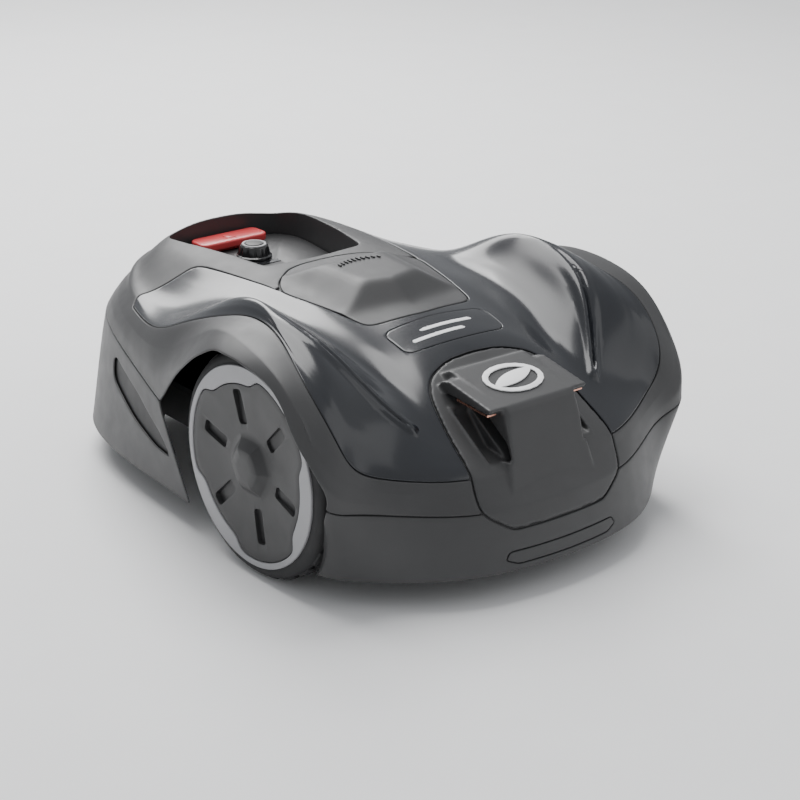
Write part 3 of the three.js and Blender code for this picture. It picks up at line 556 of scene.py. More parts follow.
def mesh_object(name: str, points: np.ndarray, faces: np.ndarray | list) -> bpy.types.Object:
    """Makes an object from points in millimetres.

    Args:
        name: Name of the piece.
        points: One point a row.
        faces: Vertex indices of each face.

    Returns:
        The new object, at the origin.
    """
    mesh = bpy.data.meshes.new(name)
    places = [tuple(p) for p in np.asarray(points) * MM]
    mesh.from_pydata(places, [], [tuple(int(i) for i in f) for f in faces])
    mesh.update()
    made = bpy.data.objects.new(name, mesh)
    bpy.context.scene.collection.objects.link(made)
    return made


def only(piece: bpy.types.Object) -> None:
    """Selects one object and makes it active."""
    bpy.ops.object.select_all(action="DESELECT")
    piece.select_set(True)
    bpy.context.view_layer.objects.active = piece


def modify(piece: bpy.types.Object, kind: str, **settings: object) -> None:
    """Adds a modifier and applies it.

    Args:
        piece: Object to change.
        kind: Modifier type.
        **settings: Modifier values.
    """
    only(piece)
    modifier = piece.modifiers.new(kind.lower(), kind)
    for key, value in settings.items():
        setattr(modifier, key, value)
    bpy.ops.object.modifier_apply(modifier=modifier.name)


def round_edges(piece: bpy.types.Object, width: float, segments: int, degrees: float) -> None:
    """Rounds every edge that turns more sharply than an angle.

    Args:
        piece: Object to change.
        width: Width of the rounding in millimetres.
        segments: Steps across it.
        degrees: Smallest turn that is rounded.
    """
    limit = math.radians(degrees)
    modify(piece, "BEVEL", width=width * MM, segments=segments, limit_method="ANGLE", angle_limit=limit)


def clean(piece: bpy.types.Object, recalculate: bool = True, merge_mm: float = 0.02) -> None:
    """Merges doubles and turns the faces outwards.

    Args:
        piece: Object to change.
        recalculate: Whether the normals are worked out again.
        merge_mm: Distance below which points become one.
    """
    only(piece)
    bpy.ops.object.mode_set(mode="EDIT")
    bpy.ops.mesh.select_all(action="SELECT")
    bpy.ops.mesh.remove_doubles(threshold=merge_mm * MM)
    bpy.ops.mesh.dissolve_degenerate(threshold=0.005 * MM)
    if recalculate:
        bpy.ops.mesh.select_all(action="SELECT")
        bpy.ops.mesh.normals_make_consistent(inside=False)
    bpy.ops.object.mode_set(mode="OBJECT")


def soften(piece: bpy.types.Object, degrees: float = 35.0) -> None:
    """Shades a piece smooth except at its real corners."""
    only(piece)
    bpy.ops.object.shade_smooth_by_angle(angle=math.radians(degrees))


def settle(piece: bpy.types.Object) -> None:
    """Puts a piece's place, turn and scale into its mesh."""
    only(piece)
    bpy.ops.object.transform_apply(location=True, rotation=True, scale=True)


def dress(piece: bpy.types.Object, finish: Finish, body: str, slot: str, *nodes: str) -> None:
    """Gives a finished piece its material, body and CAD nodes.

    Args:
        piece: Finished object.
        finish: Its finish.
        body: CAD body it rides on.
        slot: Material slot of the record. Not used.
        *nodes: CAD nodes it stands for.
    """
    piece.data.materials.clear()
    piece.data.materials.append(finish.material())
    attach(piece, body)
    if nodes:
        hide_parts(*nodes)
        piece.name = f"{nodes[0]}_fine"
    triangles = sum(len(p.vertices) - 2 for p in piece.data.polygons)
    LOG.info("%s: %d triangles on %s", piece.name, triangles, body)


def merge(name: str, parts: list[bpy.types.Object]) -> bpy.types.Object:
    """Joins objects into one piece.

    Args:
        name: Name of the joined piece.
        parts: Objects to join.

    Returns:
        The joined object.
    """
    bpy.ops.object.select_all(action="DESELECT")
    for part in parts:
        part.select_set(True)
    bpy.context.view_layer.objects.active = parts[0]
    if len(parts) > 1:
        bpy.ops.object.join()
    parts[0].name = name
    return parts[0]


def hull(name: str, points: list[tuple[float, float, float]]) -> bpy.types.Object:
    """Makes the tightest solid round points.

    Args:
        name: Name of the piece.
        points: Corners in millimetres.

    Returns:
        The solid.
    """
    made = mesh_object(name, np.array(points, float), [])
    only(made)
    bpy.ops.object.mode_set(mode="EDIT")
    bpy.ops.mesh.select_all(action="SELECT")
    bpy.ops.mesh.convex_hull()
    bpy.ops.object.mode_set(mode="OBJECT")
    clean(made)
    return made


def prism(
    name: str, outline: list[tuple[float, float]], view: View, low: float, high: float
) -> bpy.types.Object:
    """Extrudes an outline along the axis it doesn't use.

    Args:
        name: Name of the piece.
        outline: Corners in millimetres.
        view: Direction the outline is drawn in.
        low: Start along the third axis.
        high: End along the third axis.

    Returns:
        The solid.
    """
    a, b = view.value
    third = 3 - a - b
    n = len(outline)
    points = np.zeros((2 * n, 3))
    points[:, [a, b]] = np.array([*outline, *outline], float)
    points[:n, third] = low
    points[n:, third] = high
    faces = [list(range(n))[::-1], list(range(n, 2 * n))]
    faces += [[i, (i + 1) % n, n + (i + 1) % n, n + i] for i in range(n)]
    made = mesh_object(name, points, faces)
    clean(made)
    return made


def cut_away(piece: bpy.types.Object, cutter: bpy.types.Object, operation: str = "DIFFERENCE") -> None:
    """Cuts a piece with another, which is then removed."""
    modify(piece, "BOOLEAN", object=cutter, operation=operation, solver="EXACT")
    bpy.data.objects.remove(cutter)


def turned(name: str, profile: list[tuple[float, float]], facets: int) -> bpy.types.Object:
    """Spins a closed profile of radius and height about the x axis.

    Args:
        name: Name of the piece.
        profile: Radius and place along x, in millimetres.
        facets: Steps round the axis.

    Returns:
        The turned solid.
    """
    made = mesh_object(name, np.array([(x, 0, r) for r, x in profile], float), [])
    only(made)
    mesh = bmesh.new()
    mesh.from_mesh(made.data)
    ring = list(mesh.verts)
    for a, b in zip(ring, ring[1:] + ring[:1]):
        mesh.edges.new((a, b))
    mesh.to_mesh(made.data)
    mesh.free()
    bpy.ops.object.mode_set(mode="EDIT")
    bpy.ops.mesh.select_all(action="SELECT")
    bpy.ops.mesh.spin(steps=facets, angle=2 * math.pi, center=(0, 0, 0), axis=(1, 0, 0))
    bpy.ops.object.mode_set(mode="OBJECT")
    clean(made, merge_mm=0.01)
    return made


# ---- Skin panels ---------------------------------------------------------------------------


@dataclass
class SkinPanel:
    """A cover cut from the body's skin, with rolled edges and a real wall."""

    name: str
    roll: float = 1.3
    wall: float = 2.4
    snap: float = 0.12
    wheel_gap: float = 2.5

    def cut(self, net: BodyNet, values: np.ndarray) -> tuple[np.ndarray, np.ndarray]:
        """Cuts the panel out along its outline and rolls its edge inwards.

        Args:
            net: The whole skin.
            values: Distance of each point from the panel's edge, negative inside.

        Returns:
            Points and faces of the outer surface.
        """
        touched = (values[net.faces] < 0).any(1)
        used, faces = np.unique(net.faces[touched], return_inverse=True)
        faces = faces.reshape(-1, 3)
        points, normals, values = net.points[used], net.normals[used], values[used].copy()
        for level in (-self.roll, -0.6 * self.roll, -0.25 * self.roll, 0.0):
            values[np.abs(values - level) < self.snap] = level
            points, normals, faces, values = self.split(points, normals, faces, values, level)
        faces = faces[(values[faces] <= 1e-9).all(1)]
        used, faces = np.unique(faces, return_inverse=True)
        points, normals, values = points[used], normals[used], values[used]
        depth = self.roll - np.sqrt(np.maximum(0, self.roll**2 - np.maximum(0, self.roll + values) ** 2))
        return points - normals * depth[:, None], faces.reshape(-1, 3)

    @staticmethod
    def split(
        points: np.ndarray, normals: np.ndarray, faces: np.ndarray, values: np.ndarray, level: float
    ) -> tuple[np.ndarray, np.ndarray, np.ndarray, np.ndarray]:
        """Splits the faces that cross one value.

        Args:
            points: Places of the points.
            normals: Unit normals there.
            faces: Three indices a row.
            values: Value at each point.
            level: Value to split at.

        Returns:
            The four arrays with the new points and faces.
        """
        below = values < level - 1e-9
        above = values > level + 1e-9
        mixed = below[faces].any(1) & above[faces].any(1)
        whole, cut = faces[~mixed], faces[mixed]
        if not len(cut):
            return points, normals, faces, values
        edges = np.sort(np.concatenate([cut[:, [0, 1]], cut[:, [1, 2]], cut[:, [2, 0]]]), axis=1)
        unique, back = np.unique(edges, axis=0, return_inverse=True)
        back = back.reshape(3, -1).T
        v0, v1 = values[unique[:, 0]], values[unique[:, 1]]
        crossing = (below[unique[:, 0]] & above[unique[:, 1]]) | (above[unique[:, 0]] & below[unique[:, 1]])
        t = np.where(crossing, (level - v0) / np.where(crossing, v1 - v0, 1), 0)[:, None]
        new_id = np.full(len(unique), -1)
        new_id[crossing] = len(points) + np.arange(crossing.sum())
        made = (points[unique[:, 0]] * (1 - t) + points[unique[:, 1]] * t)[crossing]
        made_normals = (normals[unique[:, 0]] * (1 - t) + normals[unique[:, 1]] * t)[crossing]
        made_normals /= np.maximum(np.linalg.norm(made_normals, axis=1, keepdims=True), 1e-9)
        out = [whole]
        middle = new_id[back]
        for k in range(3):
            # two crossed sides meet at corner k, the third side is whole
            a, b, c = cut[:, k], cut[:, (k + 1) % 3], cut[:, (k + 2) % 3]
            ab, bc, ca = middle[:, k], middle[:, (k + 1) % 3], middle[:, (k + 2) % 3]
            two = (ab >= 0) & (ca >= 0) & (bc < 0)
            out.append(np.stack([a, ab, ca], 1)[two])
            out.append(np.stack([ab, b, c], 1)[two])
            out.append(np.stack([ab, c, ca], 1)[two])
            one = (bc >= 0) & (ab < 0) & (ca < 0)
            out.append(np.stack([a, b, bc], 1)[one])
            out.append(np.stack([a, bc, c], 1)[one])
        return (
            np.concatenate([points, made]),
            np.concatenate([normals, made_normals]),
            np.concatenate(out),
            np.concatenate([values, np.full(len(made), level)]),
        )

    def build(self, points: np.ndarray, faces: np.ndarray) -> bpy.types.Object:
        """Makes the panel's mesh and gives it its wall.

        Args:
            points: Points of the outer surface.
            faces: Faces of the outer surface.

        Returns:
            The finished panel.
        """
        piece = mesh_object(self.name, points, faces)
        clean(piece, recalculate=False)
        modify(piece, "SOLIDIFY", thickness=self.wall * MM, offset=-1.0, use_even_offset=False)
        self._clear_wheels(piece)
        soften(piece, 38)
        return piece

    def _clear_wheels(self, piece: bpy.types.Object) -> None:
        """Presses the inner wall back where it would come near a wheel, at rest or with the shell lifted."""
        count = len(piece.data.vertices)
        flat = np.empty(count * 3, np.float32)
        piece.data.vertices.foreach_get("co", flat)
        points = flat.reshape(-1, 3).astype(float) / MM
        room = WHEEL_R + self.wheel_gap
        hub = np.clip(points[:, 2], WHEEL_R - SHELL_LIFT, WHEEL_R)
        dy, dz = points[:, 1] - AXLE_Y, points[:, 2] - hub
        reach = np.maximum(np.hypot(dy, dz), 1e-6)
        side = np.abs(points[:, 0])
        beside = (side > WHEEL_REACH_X[0]) & (side < WHEEL_REACH_X[1])
        near = (reach < room) & (reach > HUB_REACH) & beside
        points[near, 1] = AXLE_Y + dy[near] / reach[near] * room
        points[near, 2] = hub[near] + dz[near] / reach[near] * room
        piece.data.vertices.foreach_set("co", (points * MM).astype(np.float32).ravel())
        piece.data.update()


@dataclass
class BodyCovers:
    """All covers that are cut from the body's skin."""

    net: BodyNet
    seam: float = 1.2
    crest: tuple[tuple[float, float], ...] = (
        (180, 71), (181, 32), (182, -20), (182, -79), (176, -125), (164, -158), (149, -183), (134, -204),
        (117, -227),
    )
    backing: float = 5.0
    backing_depth: float = 2.5
    fin_height: float = 3.2
    fin_widths: tuple[float, float] = (15, 8)
    groove_depth: float = 3.4
    scoop_depth: float = 3.4
    plate_gap: float = 0.3
    lip_gap: float = 0.4

    def build(self) -> None:
        """Builds every cover."""
        net, half = self.net, self.seam / 2
        reach = {name: zone.distance(net.points, net.normals) for name, zone in {
            "cover": COVER_INNER, "hatch": HATCH, "recess": RECESS, "nose": NOSE, "lip": LIP, "badge": BADGE,
            "arch": ARCH, "low": ARCH_LOWER, "scoop": SCOOP,
        }.items()}
        side, forward = np.abs(net.points[:, 0]), net.points[:, 1]
        nose = np.maximum(reach["nose"], forward - NOSE_BACK_Y)
        lip = np.maximum(reach["lip"], forward - LIP_BACK_Y)
        arch = np.minimum(
            np.maximum(reach["arch"], ARCH_SIDE_X - side), np.maximum(reach["low"], ARCH_LOWER_SIDE_X - side)
        )
        rest = np.maximum(-nose, -arch) + half
        low = net.points[:, 2] < UNDERSIDE_Z
        plan = {k: np.where(low, FAR_AWAY, reach[k]) for k in ("hatch", "recess", "badge")}
        below = net.climbs[EDGE_LEVEL]
        bumper = np.maximum(below, forward - BUMPER_BACK_Y)
        tail = np.maximum(below, TAIL_FRONT_Y - forward)
        cover = np.maximum(-net.climbs[SEAM_LEVEL], reach["cover"])
        self._panel("body_shell", MATTE_SHELL, "shell_matte", np.maximum.reduce([
            rest, -bumper + half, -tail + half, -cover + half, -plan["hatch"] + half, -plan["recess"]]))
        self._panel("top_cover", GLOSS_COVER, "cover_gloss", np.maximum.reduce([
            rest, cover + half, -plan["hatch"] + half, -plan["badge"] + self.plate_gap]), self._fins)
        plate = np.maximum(rest, plan["badge"] + self.plate_gap)
        self._panel("badge_plate", GLOSS_COVER, "cover_gloss", plate, roll=0.5)
        self._panel("hatch", MATTE_SHELL, "shell_matte", np.maximum(rest, plan["hatch"] + half), self._bump)
        self._panel("front_bumper", MATTE_SHELL, "shell_matte", np.maximum.reduce([
            rest, bumper + half, -lip + self.lip_gap]))
        self._panel("bumper_lip", MATTE_SHELL, "shell_matte", np.maximum(rest, lip + self.lip_gap), roll=0.8)
        self._panel("tail_cover", MATTE_SHELL, "shell_matte", np.maximum.reduce([
            rest, tail + half, -reach["scoop"]]))
        seams = np.minimum.reduce([
            np.abs(cover), np.abs(plan["hatch"]), np.abs(plan["badge"]), np.abs(nose), np.abs(lip),
            np.maximum(np.abs(below), np.minimum(forward - BUMPER_BACK_Y - 10, TAIL_FRONT_Y - 10 - forward)),
        ])
        self._seam_backing(np.maximum.reduce([seams - self.backing, -arch + 2, -plan["recess"] + 2]))
        self._marks(net.points, net.normals)
        self._grip()
        self._scoops(np.maximum(rest, reach["scoop"] - 7))

    def _panel(
        self, name: str, finish: Finish, slot: str, values: np.ndarray,
        shape: Callable[[np.ndarray, np.ndarray], tuple[np.ndarray, np.ndarray]] | None = None, roll: float = 1.3,
    ) -> None:
        """Cuts, shapes and dresses one panel.

        Args:
            name: Piece and CAD node.
            finish: Its finish.
            slot: Material slot of the record.
            values: Distance from its edge, negative inside.
            shape: Function that takes its points and faces and gives them back shaped, or none.
            roll: Radius of its rolled edge.
        """
        panel = SkinPanel(name, roll=roll)
        points, faces = panel.cut(self.net, values)
        if shape is not None:
            points, faces = shape(points, faces)
        dress(panel.build(points, faces), finish, "shell", slot, name)

    def _fins(self, points: np.ndarray, faces: np.ndarray) -> tuple[np.ndarray, np.ndarray]:
        """Raises the thin fin along each fender crest and sinks the groove beside it.

        Args:
            points: Points of the cover.
            faces: Its faces.

        Returns:
            The moved points and the faces.
        """
        normals = vertex_normals(points, faces)
        for level in (-0.5, -0.25, 0.0, 0.2, 0.3, 0.4, 0.5, 0.6, 0.7, 0.95, 1.2, 1.45):
            part = self._beside_crest(points)[0]
            part[np.abs(part - level) < 0.03] = level
            points, normals, faces, _ = SkinPanel.split(points, normals, faces, part, level)
        part, run, start, full, end = self._beside_crest(points)
        rise = smooth_step((run - start) / (full - start))
        blade = smooth_step((part + 0.5) / 0.75) - smooth_step((part - 0.7) / 0.75)
        blade *= self.fin_height * rise * smooth_step((end - run) / 10)
        lens = np.exp(-(((part - 0.5) / 0.14) ** 2))
        groove = self.groove_depth * lens * rise * smooth_step((end - run - 10) / 10)
        normals = vertex_normals(points, faces)
        return points + normals * (blade - groove)[:, None], faces

    def _beside_crest(self, points: np.ndarray) -> tuple[np.ndarray, np.ndarray, float, float, float]:
        """Measures places against the line of the fender crest.

        Args:
            points: Places to measure.

        Returns:
            Share of the fin's width each place lies to its side, its run along the line, and the runs
            where the fin starts, has its full height and ends.
        """
        line = np.array(self.crest, float) + np.array([0, NET_SHIFT])
        for _ in range(3):
            quarter = 0.75 * line[:-1] + 0.25 * line[1:]
            three = 0.25 * line[:-1] + 0.75 * line[1:]
            line = np.concatenate([line[:1], np.stack([quarter, three], 1).reshape(-1, 2), line[-1:]])
        before, after = line[0] - line[1], line[-1] - line[-2]
        before, after = before / np.linalg.norm(before), after / np.linalg.norm(after)
        line = np.concatenate([[line[0] + 400 * before], line, [line[-1] + 400 * after]])
        plan = np.stack([np.abs(points[:, 0]), points[:, 1]], 1)
        best = np.full(len(plan), np.inf)
        across, run = np.zeros(len(plan)), np.zeros(len(plan))
        steps = np.concatenate([[0], np.cumsum(np.linalg.norm(np.diff(line, axis=0), axis=1))])
        for k in range(len(line) - 1):
            p, q = line[k], line[k + 1]
            way = (q - p) / np.linalg.norm(q - p)
            t = np.clip((plan - p) @ (q - p) / ((q - p) @ (q - p)), 0, 1)
            away = plan - (p + t[:, None] * (q - p))
            far = np.linalg.norm(away, axis=1)
            better = far < best
            best = np.where(better, far, best)
            sign = np.sign(away[:, 0] * way[1] - away[:, 1] * way[0])
            across = np.where(better, far * -sign, across)
            run = np.where(better, steps[k] + t * (steps[k + 1] - steps[k]), run)
        first, end = steps[1], steps[-2]
        start, full = first + 0.45 * (end - first), first + 0.75 * (end - first)
        wide, narrow = self.fin_widths
        width = wide - (wide - narrow) * np.clip((run - full) / (end - full), 0, 1)
        return across / width, run, start, full, end

    @staticmethod
    def _bump(points: np.ndarray, faces: np.ndarray) -> tuple[np.ndarray, np.ndarray]:
        """Raises the sensor bump in the middle of the hatch.

        Args:
            points: Points of the hatch.
            faces: Its faces.

        Returns:
            The moved points and the faces.
        """
        x, y, z = np.abs(points[:, 0]), points[:, 1] - NET_SHIFT, points[:, 2]
        crown = 257.0
        front = crown + 0.78 * (y + 38 - 0.25 * x)
        flank = crown - 0.58 * (x - 36 - 0.14 * (y + 40))
        rear = crown - 0.55 * (y - 44)
        top = np.full_like(x, crown) + 0.02 * (y + 40)
        stack = np.stack([front, flank, rear, top])
        soft = 1.6
        low = -soft * np.log(np.exp(-(stack - crown) / soft).sum(0)) + crown
        blend = 2.0
        high = blend * np.logaddexp(z / blend, (low - 0.6) / blend)
        moved = points.copy()
        moved[:, 2] = np.where(low > z - 14, high, z)
        return moved, faces

    def _marks(self, points: np.ndarray, normals: np.ndarray) -> None:
        """Lays two plain pale bars on the badge plate.

        Args:
            points: Points of the whole skin.
            normals: Unit normals there.
        """
        for k, (start, end, y) in enumerate(((-50, 22, -131), (-30, 42, -118))):
            corners = shifted([(start, y - 2.4), (end, y - 2.4), (end, y + 2.4), (start, y + 2.4)])
            away = Zone(corners, View.PLAN, 2.0).distance(points, normals)
            values = np.where(points[:, 2] < UNDERSIDE_Z, FAR_AWAY, away)
            panel = SkinPanel(f"badge_bar_{k + 1}", roll=0.3, wall=0.5)
            outer, faces = panel.cut(self.net, values)
            outer = outer + vertex_normals(outer, faces) * 0.35
            dress(panel.build(outer, faces), EMBLEM_WHITE, "shell", "emblem_white")

    def _seam_backing(self, values: np.ndarray) -> None:
        """Lays the dark lips that close every seam from behind.

        Args:
            values: Distance from the edge of the lips, negative inside.
        """
        panel = SkinPanel("seam_backing", roll=0.3, wall=1.0)
        points, faces = panel.cut(self.net, values)
        points = points - vertex_normals(points, faces) * self.backing_depth
        dress(panel.build(points, faces), DARK_PLASTIC, "shell", "trim_dark")

    def _grip(self) -> None:
        """Sets a row of short grip ribs on the hatch's bump."""
        ribs = [block("rib", (2.6, 9 - abs(x) / 9, 3.6), (x, 31 + NET_SHIFT - x * x / 110, 257.6), 1.1, "Z")
                for x in range(-27, 28, 6)]
        grip = merge("hatch_grip", ribs)
        soften(grip, 40)
        dress(grip, MATTE_SHELL, "shell", "shell_matte")

    def _scoops(self, values: np.ndarray) -> None:
        """Sets the dark scoop back behind each hole in the tail cover.

        Args:
            values: Distance from the scoops' edge, negative inside.
        """
        points, faces = SkinPanel("scoops", roll=0.5).cut(self.net, values)
        for side, sign in (("right", -1), ("left", 1)):
            mine = faces[(points[faces][:, :, 0] * sign > 0).all(1)]
            used, local = np.unique(mine, return_inverse=True)
            own = points[used].copy()
            own[:, 0] -= sign * self.scoop_depth
            panel = SkinPanel(f"tail_scoop_{side}", wall=2.0)
            dress(panel.build(own, local.reshape(-1, 3)), DARK_PLASTIC, "shell", "trim_dark", panel.name)


@dataclass
class Nose:
    """Nose cover with its hump, brows, charging pockets and emblem."""

    net: BodyNet
    voxel: float = 1.6

    def build(self) -> None:
        """Builds the nose cover, with its charging pockets, and the emblem."""
        net = self.net
        values = np.maximum(NOSE.distance(net.points, net.normals), net.points[:, 1] - NOSE_BACK_Y) + 0.6
        panel = SkinPanel("nose_cover")
        points, faces = panel.cut(net, values)
        skin = mesh_object("nose_cover", points, faces)
        clean(skin, recalculate=False)
        modify(skin, "SOLIDIFY", thickness=3.2 * MM, offset=-1.0)
        hump = self._hump(0)
        round_edges(hump, 4.5, 4, 25)
        cut_away(hump, self._hump(3.2))
        sides = (-1, 1)
        for sign in sides:
            cut_away(skin, self._pocket(sign, 0))
            cut_away(hump, self._pocket(sign, 0))
        trays = [self._tray(sign) for sign in sides]
        brows = [self._brow(sign) for sign in sides]
        nose = merge("nose_cover", [skin, hump, *trays, *brows])
        modify(nose, "REMESH", mode="VOXEL", voxel_size=self.voxel * MM)
        modify(nose, "SMOOTH", factor=0.5, iterations=5)
        soften(nose, 60)
        dress(nose, MATTE_SHELL, "shell", "shell_matte", "nose_cover")
        self._emblem()

    @staticmethod
    def _emblem() -> None:
        """Makes the plain oval leaf on the hump's sloping top."""
        source = bpy.data.objects["nose_emblem"]
        emblem = bpy.data.objects.new("nose_emblem", source.data.copy())
        bpy.context.scene.collection.objects.link(emblem)
        clean(emblem, recalculate=False)
        slope = math.atan2(206 - 190, 272 - 192)
        low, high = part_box("nose_emblem")
        middle = (Vector(low) + Vector(high)) / 2
        turn = Matrix.Rotation(slope, 4, "X")
        grow = Matrix.Translation(middle) @ turn @ Matrix.Diagonal((1.2, 1.45, 1, 1)) @ turn.inverted()
        emblem.data.transform(grow @ Matrix.Translation(-middle))
        round_edges(emblem, 0.25, 2, 50)
        soften(emblem, 40)
        dress(emblem, EMBLEM_WHITE, "shell", "emblem_white", "nose_emblem")

    @staticmethod
    def _hump(inset: float) -> bpy.types.Object:
        """Makes the hump that carries the emblem.

        Args:
            inset: How far inside its outer face it is drawn.

        Returns:
            The hump as a solid.
        """
        half = [
            (54, -178, 199), (51, -192, 206), (47, -272, 190), (45, -277, 185), (61, -307.5, 77),
            (56, -190, 187), (60, -300, 77),
        ]
        near = [(x - inset, y + NET_SHIFT + (inset if y < -185 else 0), z - inset) for x, y, z in half]
        return hull("hump", near + [(-x, y, z) for x, y, z in near])

    @staticmethod
    def _pocket(sign: int, grow: float) -> bpy.types.Object:
        """Makes the room of the charging pocket under one brow.

        Args:
            sign: Side of the machine.
            grow: How far outside the room it is drawn.

        Returns:
            The room as a solid.
        """
        profile = along_net([
            (-272 - grow, 184 + grow), (-216 + grow, 188 + grow), (-222 + grow, 168 - grow),
            (-250 + grow, 141 - grow), (-275, 136.5 - grow), (-312, 136.5 - grow), (-312, 184 + grow),
        ])
        low, high = sorted((sign * (49 - grow), sign * (69 + grow)))
        return prism("pocket", profile, View.SIDE, low, high)

    def _tray(self, sign: int) -> bpy.types.Object:
        """Makes the wall round one charging pocket.

        Args:
            sign: Side of the machine.

        Returns:
            The tray as a solid.
        """
        tray = self._pocket(sign, 2.6)
        cut_away(tray, self._pocket(sign, 0))
        skin_side = along_net([
            (-330, 60), (-312, 75), (-305, 106), (-290, 127), (-273, 141), (-255, 153), (-222, 175),
            (-192, 195), (-192, 100), (-192, 60),
        ])
        cut_away(tray, prism("under_skin", skin_side, View.SIDE, -90, 90), "INTERSECT")
        return tray

    @staticmethod
    def _brow(sign: int) -> bpy.types.Object:
        """Makes the sloping brow over one charging pocket.

        Args:
            sign: Side of the machine.

        Returns:
            The brow as a solid.
        """
        profile = along_net([(-273, 190), (-270, 184), (-216, 188), (-190, 190), (-196, 199), (-208, 202)])
        low, high = sorted((sign * 40, sign * 66))
        return prism("brow", profile, View.SIDE, low, high)


# ---- Wheels --------------------------------------------------------------------------------


def band(name: str, rows: list[np.ndarray], poles: bool) -> bpy.types.Object:
    """Joins rings of points into one closed surface.

    Args:
        name: Name of the piece.
        rows: Rings with the same number of points each.
        poles: Whether the first and last rings close on a point. If not, the last joins the first.

    Returns:
        The solid.
    """
    grid = np.array(rows, float)
    count, around = grid.shape[:2]
    index = np.arange(count * around).reshape(count, around)
    ahead = np.roll(index, -1, axis=1)
    pairs = list(zip(range(count - 1), range(1, count))) + ([] if poles else [(count - 1, 0)])
    faces = [q for a, b in pairs for q in np.stack([index[a], ahead[a], ahead[b], index[b]], 1).tolist()]
    made = mesh_object(name, grid.reshape(-1, 3), faces)
    clean(made, merge_mm=0.01)
    return made


@dataclass
class DriveWheel:
    """Front drive wheel with its tyre, silver ring and slotted cap."""

    side: str
    sign: int
    around: int = 180
    lugs: int = 72
    slot_count: int = 6

    def build(self) -> None:
        """Builds the wheel's three visible pieces."""
        parts = [
            (self._tyre(), TYRE_RUBBER, "tyre_rubber", "tyre"),
            (self._ring(), SILVER_TRIM, "ring_silver", "wheel_ring"),
            (self._cap(), CAP_PLASTIC, "cap_grey", "wheel_cap"),
        ]
        for piece, finish, slot, node in parts:
            if self.sign < 0:
                piece.data.transform(Matrix.Rotation(math.pi, 4, "Z"))
            piece.data.transform(Matrix.Translation((0, AXLE_Y * MM, WHEEL_R * MM)))
            dress(piece, finish, f"wheel_{self.side}", slot, f"{node}_{self.side}")

    def _tyre(self) -> bpy.types.Object:
        """Turns the tyre and raises its tread lugs."""
        tyre = turned("tyre", [
            (98, 200), (110, 200), (115.5, 202), (118.4, 206), (119, 210), (119, 217.5), (119, 226.5),
            (119, 234), (118.4, 238), (115.5, 242), (111, 243.6), (107.4, 244), (98, 244),
        ], self.lugs)
        only(tyre)
        bpy.ops.object.mode_set(mode="EDIT")
        mesh = bmesh.from_edit_mesh(tyre.data)
        for face in mesh.faces:
            centre = face.calc_center_median() / MM
            step = round((math.atan2(centre.z, centre.y) / (2 * math.pi)) * self.lugs - 0.5)
            row = 0 if centre.x < 217.5 else 1 if centre.x < 226.5 else 2
            face.select = math.hypot(centre.y, centre.z) > 118.7 and (step + (row == 1)) % 3 != 0
        bmesh.update_edit_mesh(tyre.data)
        bpy.ops.mesh.extrude_region_shrink_fatten(TRANSFORM_OT_shrink_fatten={"value": 2.3 * MM})
        bpy.ops.object.mode_set(mode="OBJECT")
        clean(tyre)
        round_edges(tyre, 0.5, 2, 40)
        soften(tyre, 40)
        return tyre

    def _turns(self) -> np.ndarray:
        """Angles of the points round the wheel."""
        return np.linspace(0, 2 * math.pi, self.around, endpoint=False)

    def _edge(self, gap: float) -> np.ndarray:
        """Radius of the waved joint between ring and cap."""
        wave = 1 / (1 + np.exp(-9 * (np.cos(3 * self._turns() + 0.5) - 0.15)))
        return 100.5 - 12.5 * wave - gap

    def _row(self, radius: np.ndarray | float, place: float) -> np.ndarray:
        """One ring of points round the axle.

        Args:
            radius: Radius at each point.
            place: Distance along the axle.

        Returns:
            Points, one a row.
        """
        turns = self._turns()
        reach = np.broadcast_to(radius, turns.shape)
        return np.stack([np.full_like(turns, place), reach * np.cos(turns), reach * np.sin(turns)], 1)

    def _ring(self) -> bpy.types.Object:
        """Makes the silver ring with its waved inner edge."""
        inner = self._edge(0)
        ring = band("ring", [
            self._row(107, 244.2), self._row(107, 246.2), self._row(106.2, 247), self._row(inner + 0.9, 247),
            self._row(inner, 246.2), self._row(inner, 243.2), self._row(inner + 2, 243.2),
        ], poles=False)
        soften(ring, 35)
        return ring

    def _cap(self) -> bpy.types.Object:
        """Makes the cap with its faceted hub and radial slots."""
        edge = self._edge(0.7)
        turns = self._turns()
        sixth = np.mod(turns, math.pi / 3) - math.pi / 6
        hexed = 1 / np.cos(sixth) * 0.6 + 0.4
        cap = band("cap", [
            self._row(0, 252.4), self._row(10, 252.4), self._row(19 * hexed, 252),
            self._row(21 * hexed, 250.8), self._row(28 * hexed, 244.4), self._row(30 * hexed, 243.2),
            self._row(37, 242.6), self._row(62, 244.2), self._row(edge - 8, 245.4),
            self._row(edge - 1.2, 246), self._row(edge - 0.3, 245.7),
            self._row(edge, 244.9), self._row(edge, 240), self._row(edge - 3, 237), self._row(30, 236),
            self._row(0, 236),
        ], poles=True)
        for k in range(self.slot_count):
            angle = 2 * math.pi * k / self.slot_count + 0.25
            slot = block("slot", (16, 14, 37), (247.5, 0, 63), 4.0, "X")
            slot.data.transform(Matrix.Rotation(angle, 4, "X"))
            cut_away(cap, slot)
        round_edges(cap, 0.7, 2, 50)
        soften(cap, 30)
        return cap


